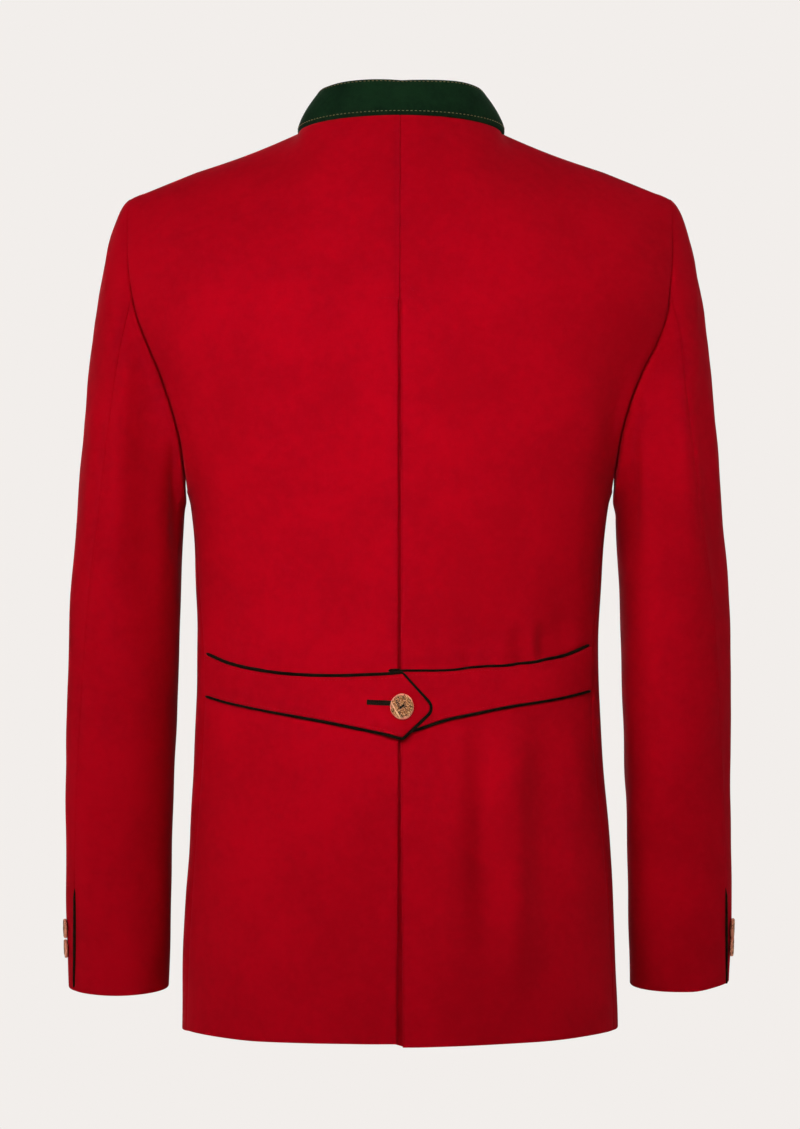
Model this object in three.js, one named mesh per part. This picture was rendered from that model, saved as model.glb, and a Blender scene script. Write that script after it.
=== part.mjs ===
// A trachten jacket of felted wool, worn shape, hollow inside.
// Millimetres. +Z is up, the wearer faces -Y, and +X is the wearer's left.
// The origin is the middle of the neck opening, level with the top of the shoulder seams.
import * as THREE from "three";

// ---------------------------------------------------------------- driving sizes
const WALL = 2; // wool cloth
const SEAM = 0.3; // space between two pieces that are sewn together
const BACK_FULLNESS = 2.35; // exponent of the body's rounded-off sections, 2 is an ellipse
const FRONT_FULLNESS = 2.3;

// Neck ring: half width, how far its back and front lie from the shoulder seams, their heights.
const NECK = { half: 82, back: 60, front: 76, rise: 10, drop: 68, side: -2, scoop: 1.25 };
const COLLAR = { thick: 2.4, gap: 1.2, lift: 0.45, curl: 1.6, columnsPerStep: 4 };
const SHOULDER = { x: 215, z: -54, arch: 1.6 };
const UNDERARM = -293;
const HEM = -726;
const HEM_DROP = { left: 0, right: 2.6 }; // the back panels hang unevenly at the pleat

// Edge of the body panels round the armhole.
const ARMHOLE = [
  { z: -130, x: 212, back: 52, front: 58 },
  { z: -150, x: 205.5, back: 56, front: 63 },
  { z: -175, x: 197, back: 58.5, front: 65 },
  { z: -200, x: 189, back: 59, front: 63 },
  { z: -225, x: 182, back: 56.5, front: 57 },
  { z: -248, x: 177, back: 51, front: 46 },
  { z: -268, x: 174, back: 42, front: 28 },
  { z: -284, x: 172.2, back: 30, front: 6 },
  { z: UNDERARM, x: 171.5, back: 14, front: -14 },
];

// Half width of the body below the underarm, and how far behind the middle the side seam runs.
const SIDE = [
  { z: UNDERARM, half: 172, seam: 14 },
  { z: -303, half: 169, seam: 16 },
  { z: -331, half: 165.5, seam: 21 },
  { z: -364, half: 164, seam: 27 },
  { z: -412, half: 162.5, seam: 34 },
  { z: -461, half: 163, seam: 38 },
  { z: -526, half: 166.2, seam: 40 },
  { z: -590, half: 171, seam: 41 },
  { z: -655, half: 174.6, seam: 42 },
  { z: HEM, half: 176.8, seam: 43 },
];

// How deep the body is behind and before its middle plane.
const DEPTH = [
  { z: -130, back: 114, front: 100 },
  { z: -160, back: 119, front: 112 },
  { z: -200, back: 122, front: 123 },
  { z: -250, back: 121, front: 131 },
  { z: UNDERARM, back: 117, front: 134 },
  { z: -364, back: 107, front: 133 },
  { z: -437, back: 99, front: 130 },
  { z: -493, back: 104, front: 131 },
  { z: -558, back: 115, front: 135 },
  { z: -623, back: 125, front: 139 },
  { z: -688, back: 133, front: 143 },
  { z: HEM, back: 137, front: 145 },
];

// Large soft folds: middle of the fold (x, signed for left and right), heights between which it
// runs, its half width, how far it stands out (or in, when negative).
const BACK_FOLDS = [
  { x: -80, top: -470, bottom: -660, half: 15, out: 3.4 },
  { x: -58, top: -474, bottom: -640, half: 12, out: -2.6 },
  { x: -106, top: -466, bottom: -650, half: 15, out: -3.0 },
  { x: -138, top: -480, bottom: -640, half: 14, out: 1.8 },
  { x: 72, top: -480, bottom: -690, half: 22, out: 2.2 },
  { x: 116, top: -476, bottom: -650, half: 20, out: -1.8 },
  { x: -64, top: -360, bottom: -432, half: 17, out: -2.4 },
  { x: -126, top: -352, bottom: -424, half: 16, out: -2.2 },
  { x: 84, top: -366, bottom: -434, half: 20, out: -1.6 },
];
const FRONT_FOLDS = [
  { x: 96, top: -330, bottom: -560, half: 24, out: -2.2 },
  { x: 134, top: -420, bottom: -690, half: 22, out: 2.2 },
  { x: -88, top: -350, bottom: -590, half: 24, out: -2.2 },
  { x: -130, top: -410, bottom: -690, half: 22, out: 2.0 },
];

const ROW_HEIGHTS = [
  ...ARMHOLE.map((row) => row.z),
  -312, -342, -376, -410, -441, -464, -490, -526, -568, -612, -664, HEM,
];
const TOP_STEPS = 6; // rows of points between the shoulder seam and the first row height
const NECK_STEPS = 6; // columns of points between the centre and the neck point
const SHOULDER_STEPS = 6; // and along the shoulder seam

// Centre back pleat and the seam above it.
const PLEAT = {
  top: -142, depth: 35, allowance: 8, fold: 2.3, layer: 5.2, half: 36,
  openTop: 0.5, openHem: 2.1, openFrom: -520,
};
// The left front laps over the right one.
const LAP = { width: 20, under: 3, from: 26, to: 54 };

// Back belt: two tabs in the body cloth. Edge heights along each tab.
const BELT_THICK = 2.4;
const BELT_LEFT = [
  { x: 154.2, top: -420, bottom: -455 },
  { x: 135.2, top: -428.5, bottom: -461 },
  { x: 98.2, top: -437, bottom: -469.5 },
  { x: 59.2, top: -439, bottom: -476.6 },
  { x: 19.2, top: -436.7, bottom: -484.6 },
  { x: -1.8, top: -435.4, bottom: -488.6 },
];
const BELT_POINT = { x: -23, z: -464, blunt: 4.5 };
const BELT_RIGHT = [
  { x: 9.2, top: -436, bottom: -487 },
  { x: -7.8, top: -434.8, bottom: -482.5 },
  { x: -36.3, top: -434.3, bottom: -473.4 },
  { x: -62.8, top: -431.2, bottom: -467.6 },
  { x: -88.8, top: -429, bottom: -463 },
  { x: -128.8, top: -422, bottom: -457.2 },
  { x: -150.8, top: -415.5, bottom: -452.5 },
];
const PIPING = { wide: 2.3, high: 2.2, lift: 0.1 };
const BELT_GAP = 0.55; // between the back and a tab
const BELT_LAP = { flat: 24, over: 11 }; // the left tab climbs over the right one in this stretch

// Sleeve below the underarm: inner and outer side in X, back and front in Y.
const CUFF = -694;
const CUFF_TILT = 0.073; // the cuff's edge hangs lower at the back
const SLEEVE = [
  { z: -320, inner: 175, outer: 262.2, back: 64, front: -76 },
  { z: -380, inner: 178, outer: 266.4, back: 58, front: -73 },
  { z: -461, inner: 181.2, outer: 269, back: 48, front: -71 },
  { z: -542, inner: 184.3, outer: 270.4, back: 37, front: -70 },
  { z: -623, inner: 186.9, outer: 270.8, back: 27, front: -71 },
  { z: CUFF, inner: 188.5, outer: 269, back: 20, front: -72 },
];
const SLEEVE_FULLNESS = 2.15;
const CAP_STEPS = 7; // rows of points in the sleeve head
const CAP_CROWD = 1.25; // above 1 they crowd towards the armhole
const SLEEVE_ROWS = [-350, -385, -425, -461, -500, -542, -585, -626, -662, CUFF];
// Armhole vertex where a sleeve seam starts, its angle at the cuff.
const BACK_SEAM = { start: 6, cuffAngle: 33, swing: 0.8 };
const FRONT_SEAM = { start: 8, cuffAngle: 218 };
const VENT = { top: -616, bottom: -693, wide: 2.2, high: 1.6, lift: 0.5, beside: 0.18 };

const BUTTON = { belt: 20.5, cuff: 15.4, front: 20.5, lift: 0.9 };
const BELT_BUTTON = { x: -1.6, z: -462.6 };
const CUFF_BUTTONS = { heights: [-646.5, -663.3], angle: 14 };
const FRONT_BUTTONS = [-104, -204, -304, -404, -504];

const RED = 0x9c0412;
const DARK_RED = 0x7d0610;
const GREEN = 0x17301d;
const HORN = 0xb98a52;

// ---------------------------------------------------------------- small helpers
const vec = (x, y, z) => new THREE.Vector3(x, y, z);
const mix = (a, b, k) => a + (b - a) * k;
const ease = (from, to, at) => THREE.MathUtils.smoothstep((at - from) / (to - from), 0, 1);
const radians = THREE.MathUtils.degToRad;

// Smooth reading of one column of a table whose rows are in order of the column `by`.
function read(table, by, at, name) {
  const down = table[0][by] > table[table.length - 1][by] ? -1 : 1;
  let i = 0;
  while (i < table.length - 2 && (at - table[i + 1][by]) * down > 0) i += 1;
  const slope = (k) => {
    const a = table[Math.max(k - 1, 0)];
    const b = table[Math.min(k + 1, table.length - 1)];
    return (b[name] - a[name]) / (b[by] - a[by]);
  };
  const from = table[i];
  const to = table[i + 1];
  const span = to[by] - from[by];
  const u = THREE.MathUtils.clamp((at - from[by]) / span, 0, 1);
  return hermite(from[name], slope(i) * span, to[name], slope(i + 1) * span, u);
}

function hermite(a, leave, b, arrive, u) {
  const u2 = u * u;
  const u3 = u2 * u;
  return (2 * u3 - 3 * u2 + 1) * a + (u3 - 2 * u2 + u) * leave
    + (3 * u2 - 2 * u3) * b + (u3 - u2) * arrive;
}

function hermitePoint(a, leave, b, arrive, u) {
  return vec(
    hermite(a.x, leave.x, b.x, arrive.x, u),
    hermite(a.y, leave.y, b.y, arrive.y, u),
    hermite(a.z, leave.z, b.z, arrive.z, u),
  );
}

// Points of a polyline at the given shares of its length.
function spread(line, shares) {
  const lengths = [0];
  line.slice(1).forEach((p, i) => lengths.push(lengths[i] + p.distanceTo(line[i])));
  const whole = lengths[lengths.length - 1];
  return shares.map((share) => {
    const at = share * whole;
    let i = 0;
    while (i < line.length - 2 && lengths[i + 1] < at) i += 1;
    return line[i].clone().lerp(line[i + 1], (at - lengths[i]) / (lengths[i + 1] - lengths[i]));
  });
}

const steps = (count, from = 0, to = 1) =>
  Array.from({ length: count + 1 }, (_, i) => mix(from, to, i / count));
const range = (from, to) =>
  Array.from({ length: Math.abs(to - from) + 1 }, (_, i) => from + i * Math.sign(to - from));

// Direction of a line of points at one of them. At an end it follows the line's curve.
function tangent(line, i) {
  const last = line.length - 1;
  if (last > 1 && (i === 0 || i === last)) {
    const [near, far] = i === 0 ? [line[1], line[2]] : [line[last - 1], line[last - 2]];
    const end = line[i].clone().multiplyScalar(-3).addScaledVector(near, 4).sub(far);
    return i === 0 ? end : end.negate();
  }
  return line[Math.min(i + 1, last)].clone().sub(line[Math.max(i - 1, 0)]);
}

// Normals of a grid of points, facing away from `inside(point)`.
function gridNormals(grid, inside) {
  return grid.map((row, i) => row.map((point, j) => {
    const normal = tangent(row, j).cross(tangent(grid.map((line) => line[j]), i)).normalize();
    return normal.dot(point.clone().sub(inside(point))) < 0 ? normal.negate() : normal;
  }));
}

// Moves the chosen edges of a grid in by half a seam's space.
function inset(grid, edges) {
  const rows = grid.map((row) => row.map((p) => p.clone()));
  const pull = (p, towards) => p.add(towards.clone().sub(p).setLength(SEAM / 2));
  const lastRow = rows.length - 1;
  const lastColumn = rows[0].length - 1;
  if (edges.includes("first row")) rows[0].forEach((p, j) => pull(p, grid[1][j]));
  if (edges.includes("last row")) rows[lastRow].forEach((p, j) => pull(p, grid[lastRow - 1][j]));
  if (edges.includes("first column")) rows.forEach((row, i) => pull(row[0], grid[i][1]));
  if (edges.includes("last column")) {
    rows.forEach((row, i) => pull(row[lastColumn], grid[i][lastColumn - 1]));
  }
  return rows;
}

// A closed geometry from points and triangles, its faces turned outwards.
function solid(points, triangles) {
  let volume = 0;
  triangles.forEach(([a, b, c]) => {
    volume += points[a].dot(points[b].clone().cross(points[c]));
  });
  const turned = volume < 0 ? triangles.map(([a, b, c]) => [a, c, b]) : triangles;
  const geometry = new THREE.BufferGeometry();
  geometry.setAttribute("position", new THREE.Float32BufferAttribute(
    points.flatMap((p) => [p.x, p.y, p.z]), 3));
  geometry.setIndex(turned.flat());
  geometry.computeVertexNormals();
  return geometry;
}

// A cloth wall: the grid is its outer face, and the inner face lies `thick` further in.
function clothWall(grid, normals, thick = WALL) {
  const columns = grid[0].length;
  const outer = grid.flat();
  const inner = grid.flatMap((row, i) =>
    row.map((p, j) => p.clone().addScaledVector(normals[i][j], -thick)));
  const at = (i, j) => i * columns + j;
  const under = outer.length;
  const triangles = [];
  for (let i = 0; i < grid.length - 1; i += 1) {
    for (let j = 0; j < columns - 1; j += 1) {
      const [a, b, c, d] = [at(i, j), at(i, j + 1), at(i + 1, j + 1), at(i + 1, j)];
      triangles.push([a, b, c], [a, c, d]);
      triangles.push([a + under, c + under, b + under], [a + under, d + under, c + under]);
    }
  }
  const rim = [
    ...range(0, columns - 1).map((j) => at(0, j)),
    ...range(1, grid.length - 1).map((i) => at(i, columns - 1)),
    ...range(columns - 2, 0).map((j) => at(grid.length - 1, j)),
    ...range(grid.length - 2, 1).map((i) => at(i, 0)),
  ];
  rim.forEach((a, k) => {
    const b = rim[(k + 1) % rim.length];
    triangles.push([a, b + under, b], [a, a + under, b + under]);
  });
  return solid([...outer, ...inner], triangles);
}

// A closed bar through rings of points that all have the same count.
function bar(rings) {
  const count = rings[0].length;
  const triangles = [];
  for (let i = 0; i < rings.length - 1; i += 1) {
    for (let j = 0; j < count; j += 1) {
      const k = (j + 1) % count;
      const [a, b, c, d] = [i * count + j, i * count + k, (i + 1) * count + k, (i + 1) * count + j];
      triangles.push([a, b, c], [a, c, d]);
    }
  }
  const end = (rings.length - 1) * count;
  for (let j = 1; j < count - 1; j += 1) {
    triangles.push([0, j + 1, j], [end, end + j, end + j + 1]);
  }
  return solid(rings.flat(), triangles);
}

// ---------------------------------------------------------------- body form, left half (x > 0)
// Quarter of a rounded section from the centre (0, depth) to the side (half, 0).
function quarter(half, depth, fullness, share) {
  const angle = (share * Math.PI) / 2;
  return [half * Math.sin(angle) ** (2 / fullness), depth * Math.cos(angle) ** (2 / fullness)];
}

// Half width of the section whose curve passes through the point (x, y).
const halfThrough = (x, y, depth, fullness) =>
  x / (1 - (Math.abs(y) / depth) ** fullness) ** (1 / fullness);

const sideAt = (half, y, depth, fullness) =>
  half * (1 - (y / depth) ** fullness) ** (1 / fullness);

// Share of the quarter at which it reaches x.
const shareAt = (x, half, fullness) =>
  (Math.asin(Math.min((x / half) ** (fullness / 2), 1)) * 2) / Math.PI;

const FINE = 60; // points of a section before it is spread over the columns

// Back panel's section at height z, from the centre back to the armhole or side seam.
function backSection(z) {
  const depth = read(DEPTH, "z", z, "back");
  let half;
  let edge;
  if (z > UNDERARM) {
    edge = read(ARMHOLE, "z", z, "x");
    half = halfThrough(edge, read(ARMHOLE, "z", z, "back"), depth, BACK_FULLNESS);
  } else {
    half = read(SIDE, "z", z, "half");
    edge = sideAt(half, read(SIDE, "z", z, "seam"), depth, BACK_FULLNESS);
  }
  return steps(FINE, 0, shareAt(edge, half, BACK_FULLNESS)).map((share) => {
    const [x, y] = quarter(half, depth, BACK_FULLNESS, share);
    return vec(x, y, z);
  });
}

// Front panel's section at height z, from the lap past the centre front to its other edge.
function frontSection(z) {
  const depth = read(DEPTH, "z", z, "front");
  const edgeY = z > UNDERARM ? -read(ARMHOLE, "z", z, "front") : read(SIDE, "z", z, "seam");
  const edgeX = z > UNDERARM ? read(ARMHOLE, "z", z, "x") : 0;
  if (edgeY < 0) {
    const half = halfThrough(edgeX, edgeY, depth, FRONT_FULLNESS);
    return steps(FINE, 0, shareAt(edgeX, half, FRONT_FULLNESS)).map((share) => {
      const [x, y] = quarter(half, depth, FRONT_FULLNESS, share);
      return vec(x, -y, z);
    });
  }
  const backDepth = read(DEPTH, "z", z, "back");
  const half = z > UNDERARM ? halfThrough(edgeX, edgeY, backDepth, BACK_FULLNESS)
    : read(SIDE, "z", z, "half");
  const edge = sideAt(half, edgeY, backDepth, BACK_FULLNESS);
  const before = steps(FINE).map((share) => {
    const [x, y] = quarter(half, depth, FRONT_FULLNESS, share);
    return vec(x, -y, z);
  });
  const behind = steps(FINE / 4, 1, shareAt(edge, half, BACK_FULLNESS)).slice(1).map((share) => {
    const [x, y] = quarter(half, backDepth, BACK_FULLNESS, share);
    return vec(x, y, z);
  });
  return [...before, ...behind];
}

// Neck ring: angle 0 is the centre back, 90 the neck point, 180 the centre front.
function neckPoint(angle) {
  const c = Math.cos(radians(angle));
  const s = Math.sin(radians(angle));
  if (c >= 0) return vec(NECK.half * s, NECK.back * c, NECK.side + NECK.rise * c);
  return vec(NECK.half * s, NECK.front * c, NECK.side - NECK.drop * (-c) ** NECK.scoop);
}

function shoulderPoint(share) {
  return vec(mix(NECK.half, SHOULDER.x, share), 0,
    mix(NECK.side, SHOULDER.z, share) + SHOULDER.arch * Math.sin(Math.PI * share));
}

// Directions in which the cloth leaves the neck ring or shoulder seam downwards.
const LEAVE = {
  back: { centre: vec(0, 75, -105), neck: vec(0, 105, -8), tip: vec(0, 66, -8) },
  front: { centre: vec(0, -20, -58), neck: vec(0, -92, -8), tip: vec(0, -72, -8) },
};
// How firmly it arrives at the first row height, along the panel's own slope there.
const ARRIVE = { back: { centre: 135, tip: 84 }, front: { centre: 66, tip: 84 } };
const SLOPE_STEP = 4;

// Rows of points of one body panel, from the shoulder down to the hem.
function panelForm(face) {
  const isBack = face === "back";
  const neck = steps(NECK_STEPS, isBack ? 0 : 180, 90).map(neckPoint);
  const shoulder = steps(SHOULDER_STEPS).slice(1).map(shoulderPoint);
  const top = [...neck, ...shoulder];
  const neckLength = new THREE.CatmullRomCurve3(neck).getLength();
  const share = neckLength / (neckLength + neck[NECK_STEPS].distanceTo(shoulder.at(-1)));
  const shares = [...steps(NECK_STEPS, 0, share), ...steps(SHOULDER_STEPS, share, 1).slice(1)];
  const section = isBack ? backSection : frontSection;
  const below = ROW_HEIGHTS.map((z) => spread(section(z), shares));
  const lower = spread(section(ROW_HEIGHTS[0] - SLOPE_STEP), shares);
  const rows = steps(TOP_STEPS).slice(0, -1).map((u) => top.map((point, j) => {
    const along = j / (top.length - 1);
    const toNeck = Math.min(j / NECK_STEPS, 1);
    const toTip = Math.max((j - NECK_STEPS) / SHOULDER_STEPS, 0);
    const leave = LEAVE[face].centre.clone().lerp(LEAVE[face].neck, toNeck)
      .lerp(LEAVE[face].tip, toTip ** 2);
    const reach = mix(ARRIVE[face].centre, ARRIVE[face].tip, along ** 2);
    const arrive = lower[j].clone().sub(below[0][j]).multiplyScalar(reach / SLOPE_STEP);
    return hermitePoint(point, leave, below[0][j], arrive, u);
  }));
  return [...rows, ...below];
}

// How far a list of folds moves the cloth out at a place.
function foldOut(folds, x, z) {
  return folds.reduce((sum, fold) => {
    const across = Math.exp(-(((x - fold.x) / fold.half) ** 2));
    const down = ease(fold.top + 14, fold.top - 22, z) * ease(fold.bottom - 30, fold.bottom + 45, z);
    return sum + fold.out * across * down;
  }, 0);
}

// The point inside the body that a torso point faces away from.
const AXIS = { inwards: 0.35, below: 30 };
const bodyAxis = (point) =>
  vec(point.x * AXIS.inwards, 0, Math.min(point.z - AXIS.below, ROW_HEIGHTS[0]));
const mirrored = (grid) => grid.map((row) => row.map((p) => vec(-p.x, p.y, p.z)));

// Normal of the body at the side seam, the same for both panels that meet there.
function seamNormal(z, side) {
  const edge = (at) => {
    const y = read(SIDE, "z", at, "seam");
    const depth = read(DEPTH, "z", at, "back");
    return vec(sideAt(read(SIDE, "z", at, "half"), y, depth, BACK_FULLNESS), y, at);
  };
  const p = edge(z);
  const half = read(SIDE, "z", z, "half");
  const depth = read(DEPTH, "z", z, "back");
  const flat = vec((p.x / half) ** (BACK_FULLNESS - 1) / half,
    (p.y / depth) ** (BACK_FULLNESS - 1) / depth, 0);
  const down = edge(Math.max(z - 1, HEM)).sub(edge(Math.min(z + 1, UNDERARM)));
  const n = vec(-flat.y, flat.x, 0).cross(down).normalize();
  if (n.x < 0) n.negate();
  return vec(side * n.x, n.y, n.z);
}

// Normals of a body panel. Both panels have the same ones along the shoulder and side seams.
function panelNormals(grid, side) {
  const normals = gridNormals(grid, bodyAxis);
  const last = grid[0].length - 1;
  for (let j = last - SHOULDER_STEPS; j <= last; j += 1) normals[0][j].setY(0).normalize();
  grid.forEach((row, i) => {
    if (row[last].z <= UNDERARM) normals[i][last] = seamNormal(row[last].z, side);
  });
  return normals;
}

// Adds folds and, on one side, the mirror image. side is 1 on the wearer's left, -1 on the right.
function bodyPanel(face, side) {
  const folds = face === "back" ? BACK_FOLDS : FRONT_FOLDS;
  const form = panelForm(face);
  const grid = side > 0 ? form : mirrored(form);
  const normals = panelNormals(grid, side);
  return grid.map((row, i) => row.map((p, j) => {
    const fade = ease(1, 0.8, j / (row.length - 1));
    return p.clone().addScaledVector(normals[i][j], fade * foldOut(folds, p.x, p.z));
  }));
}

// ---------------------------------------------------------------- the back
// A back panel turns in along the centre: a seam allowance at the top, the pleat's depth below.
function pleatOpening(z) {
  if (z > PLEAT.top) return SEAM / 2;
  return mix(PLEAT.openTop, PLEAT.openHem, ease(PLEAT.openFrom, HEM, z));
}

function backPanel(side) {
  const grid = inset(bodyPanel("back", side), ["first row", "last column"]);
  const drop = side > 0 ? HEM_DROP.left : HEM_DROP.right;
  grid.at(-1).forEach((p) => { p.z -= drop * ease(130, 0, Math.abs(p.x)); });
  const normals = panelNormals(grid, side);
  const rows = [];
  const facing = [];
  grid.forEach((row, i) => {
    const opening = pleatOpening(row[0].z);
    const width = row[0].z > PLEAT.top ? PLEAT.allowance : PLEAT.depth;
    const near = (distance) => {
      const share = distance / row[1].distanceTo(row[0]);
      const j = Math.min(Math.floor(share), row.length - 2);
      return {
        p: row[j].clone().lerp(row[j + 1], share - j),
        n: normals[i][j].clone().lerp(normals[i][j + 1], share - j).normalize(),
      };
    };
    const out = vec(side, 0, 0);
    const start = near(opening + PLEAT.fold);
    start.n = vec(0, normals[i][0].y, normals[i][0].z).normalize();
    start.p.x = side * (opening + PLEAT.fold);
    const hinge = start.p.clone().addScaledVector(start.n, -PLEAT.fold);
    const turned = steps(2, width, 0).slice(0, -1).map((distance) => {
      const place = near(opening + PLEAT.fold + distance);
      return { p: place.p.addScaledVector(place.n, -2 * PLEAT.fold), n: place.n.negate() };
    });
    const fold = steps(4, 180, 0).map((angle) => {
      const n = start.n.clone().multiplyScalar(Math.cos(radians(angle)))
        .addScaledVector(out, -Math.sin(radians(angle)));
      return { p: hinge.clone().addScaledVector(n, PLEAT.fold), n };
    });
    const face = row.slice(1).map((p, j) => ({ p, n: normals[i][j + 1] }));
    const all = [...turned, ...fold, ...face];
    rows.push(all.map((place) => place.p));
    facing.push(all.map((place) => place.n));
  });
  return { grid, normals, geometry: clothWall(rows, facing) };
}

// The strip of cloth that closes the pleat from behind, made from the panels' points.
function pleatUnderlay(left, right) {
  const shares = [1, 0.66, 0.33, 0];
  const row = (panel, i, share) => {
    const line = panel.grid[i];
    const distance = share * PLEAT.half;
    const spacing = line[1].distanceTo(line[0]);
    const j = Math.min(Math.floor(distance / spacing), line.length - 2);
    const k = distance / spacing - j;
    const p = line[j].clone().lerp(line[j + 1], k);
    const n = panel.normals[i][j].clone().lerp(panel.normals[i][j + 1], k).normalize();
    return { p: p.addScaledVector(n, -PLEAT.layer), n };
  };
  const first = left.grid.findIndex((line) => line[0].z < PLEAT.top);
  const places = left.grid.slice(first).map((line, index) => [
    ...shares.map((share) => row(left, first + index, share)),
    ...shares.slice(0, -1).reverse().map((share) => row(right, first + index, share)),
  ]);
  places.at(-1).forEach((place) => { place.p.z = HEM; });
  return clothWall(places.map((line) => line.map((place) => place.p)),
    places.map((line) => line.map((place) => place.n)));
}

// ---------------------------------------------------------------- the front
// The lap: the front panel runs on past the centre front, and the right one lies under the left.
function frontPanel(side) {
  const grid = bodyPanel("front", side);
  const whole = grid.map((row) => {
    const edge = row[0].clone().lerp(row[1], LAP.width / row[1].distanceTo(row[0]));
    return [vec(-edge.x, edge.y, edge.z), ...row];
  });
  const rows = inset(whole, ["first row", "last column"]);
  const normals = panelNormals(rows, side);
  if (side < 0) {
    rows.forEach((row, i) => row.forEach((p, j) => {
      p.addScaledVector(normals[i][j], -LAP.under * (1 - ease(LAP.from, LAP.to, -p.x)));
    }));
  }
  return { grid: rows, normals, geometry: clothWall(rows, panelNormals(rows, side)) };
}

// ---------------------------------------------------------------- collar
// A stand collar on the neck ring, leaning in, its ends meeting at the centre front.
const COLLAR_LEAN = [
  { angle: 0, inwards: 16, up: 28.4 },
  { angle: 55, inwards: 14, up: 30.4 },
  { angle: 90, inwards: 15, up: 33.5 },
  { angle: 135, inwards: 12, up: 33.5 },
  { angle: 180, inwards: 9, up: 32 },
];

function collarGeometry() {
  const half = steps(COLLAR.columnsPerStep * NECK_STEPS, 0, 180);
  const angles = [...half.slice(1).reverse().map((a) => -a), ...half];
  const step = 90 / NECK_STEPS; // between two points of the panels' neck edge
  const heights = steps(3);
  const grid = heights.map((share) => angles.map((angle) => {
    const before = Math.floor(Math.abs(angle) / step) * step;
    const seam = neckPoint(before).lerp(neckPoint(before + step), Math.abs(angle) / step % 1);
    const base = seam.lerp(neckPoint(Math.abs(angle)), share);
    const side = angle < 0 ? -1 : 1;
    const lean = {
      inwards: read(COLLAR_LEAN, "angle", Math.abs(angle), "inwards"),
      up: read(COLLAR_LEAN, "angle", Math.abs(angle), "up"),
    };
    const flat = vec(base.x, base.y, 0).normalize();
    const p = base.addScaledVector(flat, -lean.inwards * share ** COLLAR.curl);
    p.z += COLLAR.lift + lean.up * share;
    p.x = Math.max(p.x, 0);
    if (Math.abs(angle) === 180) p.x = COLLAR.gap / 2;
    return vec(side * p.x, p.y, p.z);
  }));
  const axis = (point) => vec(0, 0, point.z - 60);
  return clothWall(grid, gridNormals(grid, axis), COLLAR.thick);
}

// ---------------------------------------------------------------- sleeves, left one (x > 0)
function sleeveRing(z, angle) {
  const [inner, outer, back, front] = ["inner", "outer", "back", "front"]
    .map((name) => read(SLEEVE, "z", z, name));
  const c = Math.cos(radians(angle));
  const s = Math.sin(radians(angle));
  const round = (value) => Math.sign(value) * Math.abs(value) ** (2 / SLEEVE_FULLNESS);
  const y = ((back - front) / 2) * round(s);
  return vec((inner + outer) / 2 + ((outer - inner) / 2) * round(c), (back + front) / 2 + y,
    z - CUFF_TILT * y * ease(CUFF + 60, CUFF, z));
}

// How the sleeve head leaves the armhole, and how firmly it arrives at the upper arm.
const CAP = {
  leave: { top: vec(80, 0, 10), side: vec(60, 16, -58), bottom: vec(7, 0, -12) },
  arrive: { top: 300, side: 150, bottom: 22 },
};

function capLeave(angle) {
  const c = Math.cos(radians(angle));
  const s = Math.sin(radians(angle));
  const side = CAP.leave.side.clone();
  side.y *= Math.sign(s);
  return CAP.leave.top.clone().multiplyScalar(Math.max(c, 0) ** 2)
    .addScaledVector(side, s * s)
    .addScaledVector(CAP.leave.bottom, Math.max(-c, 0) ** 2);
}

function capArrive(angle) {
  const c = Math.cos(radians(angle));
  const reach = CAP.arrive.top * Math.max(c, 0) ** 2 + CAP.arrive.side * (1 - c * c)
    + CAP.arrive.bottom * Math.max(-c, 0) ** 2;
  const arm = SLEEVE[0].z;
  return sleeveRing(arm - SLOPE_STEP, angle).sub(sleeveRing(arm, angle))
    .multiplyScalar(reach / SLOPE_STEP);
}

// All points of a sleeve: rows from the armhole to the cuff, columns round it. Column 0 is the
// shoulder tip, and the columns go round by the back. Their first points are the panels' edges.
function sleeveForm() {
  const backEdge = panelForm("back").map((row) => row.at(-1));
  const frontEdge = panelForm("front").map((row) => row.at(-1));
  const rowsToUnderarm = TOP_STEPS + ARMHOLE.length;
  const back = backEdge.slice(0, rowsToUnderarm);
  const front = frontEdge.slice(0, rowsToUnderarm).reverse();
  const ring = [...back, ...front.slice(1, -1)];
  const lengthTo = (line) => line.reduce((sums, p, i) =>
    [...sums, i ? sums[i - 1] + p.distanceTo(line[i - 1]) : 0], []);
  const backLengths = lengthTo(back);
  const frontLengths = lengthTo(front);
  const angles = [
    ...backLengths.map((d) => (180 * d) / backLengths.at(-1)),
    ...frontLengths.slice(1, -1).map((d) => 180 + (180 * d) / frontLengths.at(-1)),
  ];
  const backSeam = BACK_SEAM.start;
  const frontSeam = back.length - 1 + (ARMHOLE.length - FRONT_SEAM.start) + 2;
  const arm = SLEEVE[0].z;
  const anglesAt = (z) => {
    const along = (arm - z) / (arm - CUFF);
    const from = [0, angles[backSeam], 180, angles[frontSeam], 360];
    const to = [0, mix(angles[backSeam], BACK_SEAM.cuffAngle, along ** BACK_SEAM.swing), 180,
      mix(angles[frontSeam], FRONT_SEAM.cuffAngle, along), 360];
    return angles.map((angle) => {
      let k = 0;
      while (k < 3 && angle > from[k + 1]) k += 1;
      return mix(to[k], to[k + 1], (angle - from[k]) / (from[k + 1] - from[k]));
    });
  };
  const cap = steps(CAP_STEPS).map((share) => share ** CAP_CROWD).map((u) => ring.map((start, j) => {
    const begin = start.clone();
    begin.x += SEAM / 2;
    const end = sleeveRing(arm, angles[j]);
    return hermitePoint(begin, capLeave(angles[j]), end, capArrive(angles[j]), u);
  }));
  const tube = SLEEVE_ROWS.map((z) => anglesAt(z).map((angle) => sleeveRing(z, angle)));
  return { rows: [...cap, ...tube], backSeam, frontSeam };
}

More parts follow.
